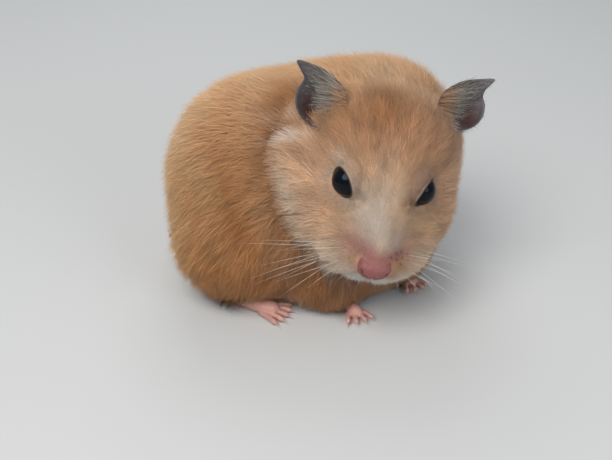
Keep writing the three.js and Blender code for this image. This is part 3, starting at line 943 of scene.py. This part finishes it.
def tuft_mesh(name, corners, faced, tints, root_uv, rings, material):
    """One mesh of many spikes, with its normals, tints, and a small patch of the unwrap for
    each spike at its root's place."""
    count, each = corners.shape[:2]
    faces = (np.arange(count)[:, None, None] * each + spike_faces(rings)).reshape(-1, 3)
    data = bpy.data.meshes.new(name)
    data.vertices.add(count * each)
    data.vertices.foreach_set("co", strung(corners))
    data.loops.add(faces.size)
    data.loops.foreach_set("vertex_index", faces.astype(np.int32).ravel())
    data.polygons.add(len(faces))
    data.polygons.foreach_set("loop_start", np.arange(0, faces.size, 3, dtype=np.int32))
    data.update(calc_edges=True)
    data.shade_smooth()
    normals = data.attributes.new("custom_normal", "FLOAT_VECTOR", "POINT")
    normals.data.foreach_set("vector", strung(faced))
    along = np.append(np.repeat(np.arange(rings) / rings, 3), 1) - 0.5
    across = np.append(np.tile([0, -0.5, 0.5], rings), 0)
    patch = root_uv[:, None] + UNWRAP_PATCH * np.stack([across, along], 1)
    layer = data.uv_layers.new(name="OFBake")
    layer.uv.foreach_set("vector", strung(patch.reshape(-1, 2)[faces.ravel()]))
    data.materials.append(material)
    piece = linked(name, data)
    give_tint(piece, tints.reshape(-1, 3))
    return piece


coat_hair, coat_shader = tinted("coat_hair", 0.65, 0.14, 2600, 0.10, 0.00002)
coat_shader.inputs["Sheen Weight"].default_value = 0.10
coat_shader.inputs["Sheen Roughness"].default_value = 0.5


def grown(count, chosen, width, taper, rings):
    """Grows tufts on the chosen skin, as wide as the width and a share of their length: returns
    their corners, normals, tints, patches and roots."""
    corner, share, root_uv = spread_roots(count, chosen)

    def at(values):
        return (values[corner] * share[..., None]).sum(1)

    root, out = at(skin_points), unit(at(skin_out))
    streak = at(skin_streaks)[:, 0].clip(-2, 2)
    _, length, lift = at(skin_sizes).T
    lie, bare, full = clear_of_eyes(root, unit(square_to(at(skin_lie), out)), out)
    clear = off_nose(root)
    bare |= clear < random.random(count) * 0.55
    bare |= (root[:, 2] < 3 * MM) & (out[:, 2] < -0.5)
    length = length * full * (0.45 + 0.55 * ramp(clear, 0, 0.8))
    swerve = random.normal(0, SWERVE, count)[:, None]
    lie = unit(lie + swerve * np.cross(out, lie))
    lift = lift * random.normal(1, LIFT_VARIES, count).clip(0.4, 1.7) * (1 + 0.12 * streak)
    length = length * random.uniform(*LENGTH_VARIES, count)
    length = length * (0.7 + 0.3 * ramp(root[:, 2], 0, 7 * MM))  # shorter by the floor
    height, slope = locks(root)
    full = ramp(length, 1.5 * MM, 7 * MM)
    pull = square_to(slope, out) * (LOCK_PULL * full)[:, None]
    corners, faced = spikes(
        root - ROOT_DEPTH * out, out, lie, length, width + taper * length, lift, pull, rings)
    corners[..., 2] = np.maximum(corners[..., 2], 0.05 * MM)

    # A short hair takes the marking half way along it, and a long one that of its root.
    seen = root + lie * (0.5 * length * (1 - ramp(length, 1.8 * MM, 3.2 * MM)))[:, None]
    colour = marked(seen, at(skin_colour))
    off_head = ramp(np.linalg.norm(in_head(root), axis=1), 24, 36)
    on_back = off_head * ramp(root[:, 2], 20 * MM, 38 * MM)
    # The streaks are weaker on the back and in short hair.
    streak = streak * (1 - 0.6 * on_back) * (0.3 + 0.7 * ramp(length, 1.6 * MM, 3 * MM))
    # The tone differs at random and with the streaks, and is a little lighter on the tops of the
    # locks: that last part is painted light.
    tone_and_lock_highlight = random.normal(1, TONE_VARIES, count).clip(0.65, 1.35) * (1 + 0.05 * height * full)
    tone_and_lock_highlight = tone_and_lock_highlight * (1 + STREAK * streak)
    warm = random.normal(0, WARMTH_VARIES, count)
    waves = root @ wave_way[:PATCH_WAVES].T * (2 * np.pi / PATCH_SIZE) + wave_start[:PATCH_WAVES]
    patch = 0.035 * full * np.sin(waves).sum(1)
    colour = colour * tone_and_lock_highlight[:, None] * np.stack([1 + warm, 1 - 0.5 * patch, 1 - warm - patch], 1)
    part = np.append(np.repeat(np.arange(rings) / rings, 3), 1)
    tints = np.clip(colour[:, None] * blended(AT_ROOT, ramp(part, 0, 0.75), AT_TIP), 0, 0.95)
    return [values[~bare] for values in (corners, faced, tints, root_uv, root)]


short = 1 - ramp(skin_sizes[:, 1], SHORT_COAT - 0.3 * MM, SHORT_COAT + 0.3 * MM)
long_coat = (1 - short) * (5 * MM / skin_sizes[:, 1].clip(2.6 * MM))
short[bare_skin:] = long_coat[bare_skin:] = 0  # the lids are bare
face = grown(HAIRS_ON_FACE, short, 0.09 * MM, 0.035, 1)
straight = grown(HAIRS_ON_BODY, long_coat, 0.075 * MM, 0.013, 1)
curved = grown(TUFTS_ON_BODY, long_coat, 0.075 * MM, 0.013, 2)

# Which part of the coat each tuft is in: the part with the nearest middle.
BODY_PARTS = {
    "coat_crown": on_head((0, 14, 8)),
    "coat_cheek_right": on_head((-15, 0, -8)),
    "coat_cheek_left": on_head((15, 2, -8)),
    "coat_shoulders": in_box("trunk", (0.75, 0.6, 0.9)),
    "coat_back": in_box("trunk", (0.42, 0.45, 0.95)),
    "coat_flank_right": in_box("trunk", (0.30, 0.05, 0.50)),
    "coat_flank_left": in_box("trunk", (0.50, 1.0, 0.50)),
    "coat_rump": in_box("trunk", (0.0, 0.5, 0.6)),
    "coat_thigh_right": in_box("hindleg_right", (0.4, 0.1, 0.3)),
    "coat_belly": in_box("trunk", (0.6, 0.5, 0.0)),
}


def nearest_part(roots):
    """The number of the body part whose middle is nearest to each root."""
    middles = np.array(list(BODY_PARTS.values()))
    return np.argmin(np.linalg.norm(roots[:, None] - middles, axis=2), axis=1)


coat_pieces = [tuft_mesh("coat_face", *face[:4], 1, coat_hair)]
under_part, over_part = nearest_part(straight[4]), nearest_part(curved[4])
for number, name in enumerate(BODY_PARTS):
    under, over = ([values[part == number] for values in hair[:4]]
                   for hair, part in ((straight, under_part), (curved, over_part)))
    coat_pieces.append(tuft_mesh(name + "_under", *under, 1, coat_hair))
    coat_pieces.append(tuft_mesh(name + "_over", *over, 2, coat_hair))
for piece in coat_pieces:
    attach(piece, "root")


# ==== Ears ==================================================================================
# Thin crumpled leaves of dark grey skin, cupped towards the front, reddish brown and bare inside
# the lobe. The top folds forward over the lobe, and pale hairs fan out over it from the head.
EAR_HEIGHT, EAR_THICK = 15.0, 0.4  # mm
# How far its parts stand forward in mm: cup, folded crease, hollow, ribs and rolled rim
EAR_CUP, EAR_FOLD, EAR_HOLLOW, EAR_RIBS, EAR_ROLL = 3.4, 1.3, 1.0, 0.07, 0.18
EAR_AROUND, EAR_RINGS = 132, 26
EAR_EDGE = np.array([
    (-0.25, 0.10), (-0.22, 0.33), (-0.03, 0.55), (0.19, 0.68), (0.53, 0.77),
    (0.42, 0.52),
    (0.51, 0.34), (0.53, 0.13), (0.44, -0.06), (0.27, -0.18), (0.09, -0.21), (-0.12, -0.12),
])  # in heights, x outwards and y up, from the foot of the front edge over the tip to the lobe
EAR_NOTCH = np.array([0.42, 0.52])
EAR_CONCHA = np.array([3.4, 1.6])  # the middle of the hollow in mm
EAR_LOBE, EAR_LOBE_SPREAD = np.array([4.6, 0.8]), np.array([3.6, 4.2])
EAR_GREY, EAR_BROWN = (0.115, 0.104, 0.110), (0.050, 0.019, 0.016)
EAR_RIM, EAR_NEAR_HEAD = (0.095, 0.090, 0.105), (0.20, 0.14, 0.10)
EAR_HAIRS = 1700
PALE_HAIR, DARK_HAIR = (0.42, 0.385, 0.32), (0.095, 0.085, 0.082)
# side, foot of the ear in the head's axes, turned up from lying back, spun in its plane, size
EARS = {
    "ear_right": (-1, (-12.6, 16.04, 2.4), 45, -6, 1.0),
    "ear_left": (1, (14.9, 19.64, 3.4), 30, -10, 0.92),
}


def closed_curve(points, count):
    """A smooth closed curve through the points: between two points a cubic, whose slope at each
    point is half the step between that point's neighbours."""
    at = np.linspace(0, len(points), count, endpoint=False)
    index = at.astype(int)
    part = (at - index)[:, None]
    a, b, c, d = (points[(index + k) % len(points)] for k in (-1, 0, 1, 2))
    return 0.5 * (2 * b + (c - a) * part + (2 * a - 5 * b + 4 * c - d) * part**2
                  + (3 * b - a - 3 * c + d) * part**3)


def ear_lift(leaf, out):
    """How far the ear's middle sheet stands forward at places on the leaf: a cup, a crease
    towards the notch with the upper side folded over the lower, a hollow, and fine ribs."""
    notch = unit(EAR_NOTCH)
    over = leaf @ np.array([-notch[1], notch[0]])
    along = np.maximum(leaf @ notch, 0) / (EAR_HEIGHT * np.linalg.norm(EAR_NOTCH))
    fold = bell(over, 0, np.where(over > 0, 2.6, 0.55))
    hollow = bell(leaf, EAR_CONCHA, 2.6).prod(-1)
    ribs = np.sin(np.arctan2(leaf[..., 1], leaf[..., 0]) * 23 + 2 * np.sin(leaf[..., 0]))
    return (EAR_CUP * (out**2 - 1) + EAR_FOLD * along * fold - EAR_HOLLOW * hollow
            + EAR_RIBS * out * ribs)


def spun(x, y, degrees):
    """Two coordinates turned about their origin."""
    cosine, sine = math.cos(math.radians(degrees)), math.sin(math.radians(degrees))
    return cosine * x - sine * y, sine * x + cosine * y


def on_ear(leaf, lift, ear):
    """From the leaf's plane to its place on the head: spun, turned up, mirrored and set down."""
    side, foot, stand, spin, size = ear
    x, y = spun(leaf[..., 0], leaf[..., 1], spin)
    y, z = spun(y, lift, stand)
    return on_head(np.stack([side * x, y, z], -1) * size + foot)


def ear_leaf(around, rings):
    """Places on the leaf: its edge drawn in towards the foot ring by ring, closer near the edge;
    and how far out each is, from 0 to 1."""
    edge = closed_curve(EAR_EDGE * EAR_HEIGHT, around)
    out = (1 - (1 - np.linspace(0, 1, rings + 1)[1:]) ** 1.4)[:, None]
    return out[..., None] * edge, np.repeat(out, around, 1)


def ear_paint(leaf, out, front):
    """Grey towards the edge and the tip, dark reddish brown in the lobe, paler by the head."""
    lobe = bell(leaf, EAR_LOBE, EAR_LOBE_SPREAD).prod(-1) * front
    near = 1 - ramp(leaf[..., 0], -3.5, 1.5)
    colour = blended(EAR_GREY, lobe, EAR_BROWN)
    colour = blended(colour, 0.6 * near, EAR_NEAR_HEAD)
    return blended(colour, 0.6 * ramp(out, 0.90, 0.99), EAR_RIM)


def ear_shell(ear):
    """Rings from the middle of the front sheet out to the rounded edge and back to the middle of
    the back sheet, closed with a point at each middle: corners, faces and colours."""
    leaf, out = ear_leaf(EAR_AROUND, EAR_RINGS)
    lift = ear_lift(leaf, out) + EAR_ROLL * bell(out, 0.95, 0.04)
    half = 0.5 * EAR_THICK * np.sqrt(1 - 0.88 * out**6)
    foot = np.zeros(2)
    front, back = (on_ear(leaf, lift + sign * half, ear) for sign in (1, -1))
    poles = [on_ear(foot, ear_lift(foot, 0.0) + sign * 0.5 * EAR_THICK, ear) for sign in (1, -1)]
    points = np.concatenate([front, back[::-1]]).reshape(-1, 3)
    colour = np.concatenate([ear_paint(leaf, out, 1.0), ear_paint(leaf, out, 0.3)[::-1]])
    middles = np.tile(ear_paint(foot, np.zeros(()), 1.0), (2, 1))
    return (np.concatenate([points, poles]), capped_faces(2 * EAR_RINGS, EAR_AROUND),
            np.concatenate([colour.reshape(-1, 3), middles]))


def ear_hairs(name, ear):
    """Hairs on the front sheet, longest and thickest near the head, that lie outwards."""
    spot = random.random((EAR_HAIRS * 6, 2)) * (12.5, 15.5) + (-4.0, -3.4)
    edge = closed_curve(EAR_EDGE * EAR_HEIGHT, 360)
    spot_turn, edge_turn = (np.arctan2(places[:, 1], places[:, 0]) for places in (spot, edge))
    order = np.argsort(edge_turn)
    rim = np.interp(spot_turn, edge_turn[order], np.linalg.norm(edge, axis=1)[order],
                    period=2 * np.pi)
    out = np.linalg.norm(spot, axis=1) / rim
    wanted = bell(spot[:, 0].clip(-2.2), -2.2, 4.2) + 0.2
    chosen = out < np.where(spot[:, 0] < -0.5, 1.0, 0.94)
    chosen &= random.random(len(spot)) < wanted
    spot, out = spot[chosen][:EAR_HAIRS], out[chosen][:EAR_HAIRS]
    count = len(spot)

    def sheet_at(leaf):
        return on_ear(leaf, ear_lift(leaf, out.clip(0, 1)) + 0.5 * EAR_THICK, ear)

    root = sheet_at(spot)
    lie_leaf = unit(unit(spot - (-8, 2)) + random.normal(0, 0.12, (count, 2)))
    lie = unit(sheet_at(spot + 0.05 * lie_leaf) - root)
    out_way = unit(on_ear(spot, np.ones(count), ear) - on_ear(spot, np.zeros(count), ear))
    near = bell(spot[:, 0].clip(-2.0), -2.0, 4.8)
    length = (1.6 + 2.8 * near) * MM * random.uniform(0.6, 1.15, count)
    lift = np.radians(15) * random.uniform(0.5, 1.8, count)
    corners, faced = spikes(root, unit(square_to(out_way, lie)), lie, length,
                            0.05 * MM + 0.024 * length, lift, np.zeros((count, 3)), 1)
    pale = random.random(count) < 0.36 + 0.24 * near
    tone = np.where(pale[:, None], PALE_HAIR, DARK_HAIR)
    at_head = 1 - ramp(spot[:, 0], -3.8, -1.6)
    tone = blended(tone, at_head, np.array(COLOURS["tan"]) * 0.9)
    # The left ear's hairs are painted a fifth darker: painted shade, as that ear is on the side
    # away from the key lamp.
    tone = tone * random.normal(1, 0.15, count).clip(0.6, 1.4)[:, None] * (0.8 if ear[0] > 0 else 1)
    tints = tone[:, None] * np.array([0.8, 0.8, 0.8, 1.1])[:, None]
    root_uv = 0.25 + 0.5 * (spot + 4) / 16
    return tuft_mesh(name, corners, faced, tints.clip(0, 0.9), root_uv, 1, coat_hair)


ear_leather = tinted("ear_leather", 0.5, 0.35, 1500, 0.22, 0.00008)[0]
for node, ear in EARS.items():
    points, blocks, colour = ear_shell(ear)
    shell = closed_piece(node + "_shell", points, blocks, ear_leather, colour)
    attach(shell, "root")
    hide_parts(node)
    hairs = ear_hairs(node + "_hairs", ear)
    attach(hairs, "root")


# ==== Nose ==================================================================================
# The bare moist pad at the tip, pink and finely pebbled, with a comma of a nostril on each side
# and a groove down its middle to the lip. It lies a little lower than the fur round it.
PAD_WEAVE = 0.2 * MM
NOSTRIL = np.array([(1.7, -1.2), (2.6, -0.9), (3.0, -0.1)])  # x and z from its middle in mm
GROOVE = np.array([(0.0, -0.9), (0.0, -3.4)])
# How wide and deep the nostrils and the groove are, and how much darker they are painted: that
# darkness is painted shade in these hollows.
NOSTRIL_WIDE, NOSTRIL_DEEP, NOSTRIL_SHADE = 0.36, 0.6, 0.45
GROOVE_WIDE, GROOVE_DEEP, GROOVE_SHADE = 0.26, 0.3, 0.35
PAD_PINK = np.array([0.262, 0.086, 0.080])

pad_points, pad_squares = even_surface(copied("nose"), PAD_WEAVE)
across, back, high = (in_head(pad_points) - NOSE_MIDDLE).T
pad_flat = np.stack([np.abs(across), high], 1)
pad_front = ramp(-back, 0.2, 1.2)
nostril = pad_front * bell(from_line(pad_flat, NOSTRIL), 0, NOSTRIL_WIDE)
groove = pad_front * bell(from_line(pad_flat, GROOVE), 0, GROOVE_WIDE)
sunk = 0.12 + 0.25 * (1 - ramp(-back, 0.5, 2.2)) + 0.6 * ramp(high, 0.9, 2.8)
sunk = sunk + NOSTRIL_DEEP * nostril + GROOVE_DEEP * groove
pad_points = pad_points - facing(pad_points, pad_squares) * MM * sunk[:, None]
nose_leather = tinted("nose_leather", 0.42, 0.4, 2400, 0.12, 0.00015)[0]
pad = closed_piece("nose_pad", pad_points, [pad_squares], nose_leather,
                   PAD_PINK * (1 - NOSTRIL_SHADE * nostril - GROOVE_SHADE * groove)[:, None])
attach(pad, "root")
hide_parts("nose")


# ==== Tail ==================================================================================
# A short tapering stub of bare pink brown skin, faintly ringed with fine folds, that points
# back from the rump.
TAIL_WEAVE = 0.25 * MM
TAIL_RINGS = 0.8 * MM  # from ring to ring
TAIL_FOLD = 0.05 * MM
TAIL_PINK = np.array([0.50, 0.29, 0.21])

tail_points, tail_squares = even_surface(copied("tail"), TAIL_WEAVE)
tail_way = unit(middle("tail") - middle("trunk"))
ringed = 0.5 + 0.5 * np.sin(tail_points @ tail_way * 2 * np.pi / TAIL_RINGS)
tail_points = tail_points - facing(tail_points, tail_squares) * (TAIL_FOLD * ringed)[:, None]
tail_leather = tinted("tail_leather", 0.5, 0.35, 2000, 0.14, 0.0001)[0]
# The skin is painted darker where the folds sink in: painted shade in the folds.
tail = closed_piece("tail_skin", tail_points, [tail_squares], tail_leather,
                    TAIL_PINK * (0.92 - 0.16 * ringed)[:, None])
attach(tail, "root")
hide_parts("tail")


# ==== Feet ==================================================================================
# Small pink bare feet under the coat, four toes in front and five behind. Each toe is a bent
# tube that swells to a pad under its tip, and ends in a pale, slightly hooked claw.
FEET = {
    "forefoot_right": (20, 11, 5.0, 4),  # heading in degrees, length and width in mm, toes
    "forefoot_left": (32, 11, 5.0, 4),
    "hindfoot_right": (65, 18, 5.6, 5),
    "hindfoot_left": (110, 18, 5.6, 5),
}
TOE_FAN = 50  # degrees from the first toe to the last
FOOT_WEAVE = 0.18 * MM
FOOT_SUNK = 0.25 * MM  # how much of the sole is flattened by the floor
FOOT_CREASES = np.array([900, 1300, 700])  # waves a metre, by way
FOOT_PINK = np.array([0.62, 0.33, 0.27])
CLAW_TIP, CLAW_ROOT = np.array([0.70, 0.60, 0.50]), (0.58, 0.38, 0.31)


def tube(path, radius, around=14):
    """A closed tube along a path: circles square to it, with a point at each end."""
    way = unit(np.gradient(path, axis=0))
    side = unit(np.cross(way, np.array([0, 0, 1.0]) + 1e-6))
    up = np.cross(side, way)
    turn = np.linspace(0, 2 * np.pi, around, endpoint=False)
    rings = path[:, None] + np.asarray(radius)[:, None, None] * (
        np.cos(turn)[:, None] * side[:, None] + np.sin(turn)[:, None] * up[:, None])
    points = np.concatenate([rings.reshape(-1, 3), [path[0], path[-1]]])
    return points, capped_faces(len(path), around)


def combined(shapes):
    """Several shapes as one: their corners, and their faces counted on from shape to shape."""
    first = np.cumsum([0] + [len(points) for points, _ in shapes])
    return (np.concatenate([points for points, _ in shapes]),
            [block + start for (_, blocks), start in zip(shapes, first) for block in blocks])


def foot_shapes(length, width, toes):
    """The sole and toes as tubes, and the claws, pointing to -y, in mm. Heights and radii follow
    how far along its own piece a place is: 0 at the heel or knuckle, 1 at the tip."""
    toe_length, toe_thick = 0.32 * length + 0.35 * width, 0.27 * width
    run = np.linspace(0, 1, 17)
    sole = np.stack([0 * run, (0.36 - 0.72 * run) * length, 0.085 * length + 0.5 - 0.25 * run], 1)
    rounded = np.sqrt(np.clip(1 - (2 * run - 1) ** 4, 0.02, 1))
    thick = 0.40 * width * rounded * (0.62 + 0.38 * run)
    bend = toe_thick * (0.5 + 0.35 * np.sin(np.pi * run * 0.9))
    swollen = 0.5 * toe_thick * (0.95 - 0.2 * run + 0.22 * bell(run, 0.86, 0.12))
    swollen *= np.sqrt(np.clip(1 - run**10, 0.02, 1))
    claw_run = np.linspace(0, 1, 9)
    hook = toe_thick * (0.62 - 0.45 * claw_run**2)
    claw_thick = 0.15 * toe_thick * (1 - 0.92 * claw_run) + 0.02
    flesh, claws = [tube(sole, thick)], []
    for across in np.linspace(-0.5, 0.5, toes):
        way = np.array(spun(0, -1, TOE_FAN * across))
        reach = toe_length * (0.92 - 0.35 * across**2)
        along = reach * run[:, None] * way + (0.56 * width * across, -0.12 * length)
        flesh.append(tube(np.column_stack([along, bend]), swollen))
        claw = along[-1] + toe_length * (0.30 * claw_run[:, None] - 0.12) * way
        claws.append(tube(np.column_stack([claw, hook]), claw_thick, 8))
    return combined(flesh), combined(claws)


foot_leather = tinted("foot_leather", 0.5, 0.35, 1800, 0.12, 0.00012)[0]
claw_horn = tinted("claw_horn", 0.32, 0.5, 2200, 0.15, 0.00002)[0]
for node, (heading, length, width, toes) in FEET.items():
    (points, blocks), (claw_points, claw_blocks) = foot_shapes(length, width, toes)
    points, claw_points = (
        MM * np.column_stack([*spun(shape[:, 0], shape[:, 1], heading), shape[:, 2]])
        for shape in (points, claw_points))
    whole = np.concatenate([points, claw_points])
    shift = middle(node) - (whole.min(0) + whole.max(0)) / 2
    shift[2] = -points[:, 2].min() - FOOT_SUNK
    corners, quads = even_surface(mesh_piece("cast", points + shift, blocks), FOOT_WEAVE)
    corners[:, 2] = np.maximum(corners[:, 2], 0)
    crease = 0.5 + 0.5 * np.sin(corners @ FOOT_CREASES)
    foot = closed_piece(node + "_skin", corners, [quads], foot_leather,
                        FOOT_PINK * (0.86 + 0.14 * crease)[:, None])
    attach(foot, "root")
    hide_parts(node)
    claw_points = claw_points + shift
    claw_points[:, 2] = np.maximum(claw_points[:, 2], 0.02 * MM)
    from_floor = ramp(claw_points[:, 2], 0.1 * MM, 0.8 * MM)
    claws = closed_piece(node + "_claws", claw_points, claw_blocks, claw_horn,
                         blended(CLAW_TIP, from_floor, CLAW_ROOT))
    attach(claws, "root")


# ==== Whiskers ==============================================================================
# Long stiff tapering bristles of horn in rows on the whisker pads, pale towards their tips, that
# sweep outwards and sag a little. Short dark sheaths stand round the roots in the bare spots.
# Each root in the head's axes in mm, the way it leaves, its length on the right and the left
WHISKERS = [
    ((6.8, -12.6, -7.2), (0.88, -0.24, 0.06), 15, 10),
    ((8.2, -11.4, -7.4), (0.90, -0.20, 0.08), 19, 12),
    ((9.8, -10.4, -7.8), (0.90, -0.16, 0.06), 17, 12),
    ((7.4, -13.4, -9.0), (0.86, -0.28, -0.06), 18, 12),
    ((9.0, -12.0, -9.2), (0.86, -0.26, -0.06), 22, 14),
    ((10.6, -10.9, -9.8), (0.88, -0.22, -0.08), 21, 14),
    ((7.6, -14.2, -10.8), (0.78, -0.34, -0.18), 16, 11),
    ((9.4, -12.9, -11.2), (0.80, -0.32, -0.20), 20, 13),
    ((11.2, -11.4, -11.8), (0.82, -0.28, -0.20), 18, 13),
    ((7.2, -14.8, -12.4), (0.62, -0.34, -0.42), 11, 8),
    ((9.0, -13.6, -13.0), (0.66, -0.32, -0.40), 14, 10),
    ((10.8, -12.0, -13.8), (0.70, -0.28, -0.40), 14, 10),
    ((1.6, -15.8, -15.0), (0.10, -0.10, -1.00), 5, 5),
    ((4.0, -15.4, -14.8), (0.16, -0.10, -1.00), 5, 5),
    ((6.0, -14.8, -14.6), (0.30, -0.12, -0.90), 6, 6),
]
WHISKER_THICK = 0.044 * MM
WHISKER_STEPS, WHISKER_SIDES = 12, 5
WHISKER_ROOT, WHISKER_TIP = np.array([0.42, 0.30, 0.20]), (0.86, 0.82, 0.76)
WHISKER_SAG = np.array([0, 0, -0.14]) + head_way((0, 0.10, 0))
# How much single whiskers differ: the root's place in mm, the way as a share, and the length
ROOT_STRAYS, WAY_STRAYS, WHISKER_LENGTHS = 0.25, 0.07, (0.85, 1.05)
# side, thickness at the root in mm, colour
SHEATHS = [(1, 0.15, (0.15, 0.065, 0.045)), (-1, 0.11, (0.30, 0.15, 0.11))]
SHEATH_LENGTH = 0.75 * MM
SHEATH_WAY = unit(np.array([0.35, -0.8, 0.45]))

skin_tree = BVHTree.FromPolygons(skin_points.tolist(), squares.tolist())


def on_skin(place):
    """The point of the skin nearest to a place in the head's axes."""
    return np.array(skin_tree.find_nearest(Vector(on_head(place)))[0])


bristles = []
run = np.linspace(0, 1, WHISKER_STEPS)[:, None]
for side in (-1, 1):
    for place, way, right, left in WHISKERS:
        start = on_skin(np.array(place) * (side, 1, 1) + random.normal(0, ROOT_STRAYS, 3))
        stray = random.normal(0, WAY_STRAYS, 3)
        outward = unit(head_way(np.array(way) * (side, 1, 1)) + stray)
        reach = (left if side > 0 else right) * MM * random.uniform(*WHISKER_LENGTHS)
        path = start + reach * (run * outward + run**2 * WHISKER_SAG)
        bristles.append(tube(path, WHISKER_THICK * (1 - 0.9 * run[:, 0]), WHISKER_SIDES))

sheaths, sheath_colours = [], []
short_run = np.linspace(0, 1, 5)[:, None]
for side, thick, colour in SHEATHS:
    for place in FOLLICLES:
        start, way = on_skin(place * (side, 1, 1)), head_way(SHEATH_WAY * (side, 1, 1))
        path = start + SHEATH_LENGTH * short_run * way
        sheaths.append(tube(path, thick * MM * (1 - 0.5 * short_run[:, 0]), 6))
        sheath_colours.append(np.tile(colour, (len(sheaths[-1][0]), 1)))

whisker_horn = tinted("whisker_horn", 0.4, 0.5, 3000, 0.1, 0.00001)[0]
sheath = closed_piece("whisker_sheaths", *combined(sheaths), whisker_horn,
                      np.concatenate(sheath_colours))
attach(sheath, "root")
along = np.append(np.repeat(run[:, 0], WHISKER_SIDES), [0, 1])
bristle_colour = blended(WHISKER_ROOT, ramp(along, 0, 0.5), WHISKER_TIP)
whiskers = closed_piece("whiskers", *combined(bristles), whisker_horn,
                        np.tile(bristle_colour, (len(bristles), 1)))
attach(whiskers, "root")
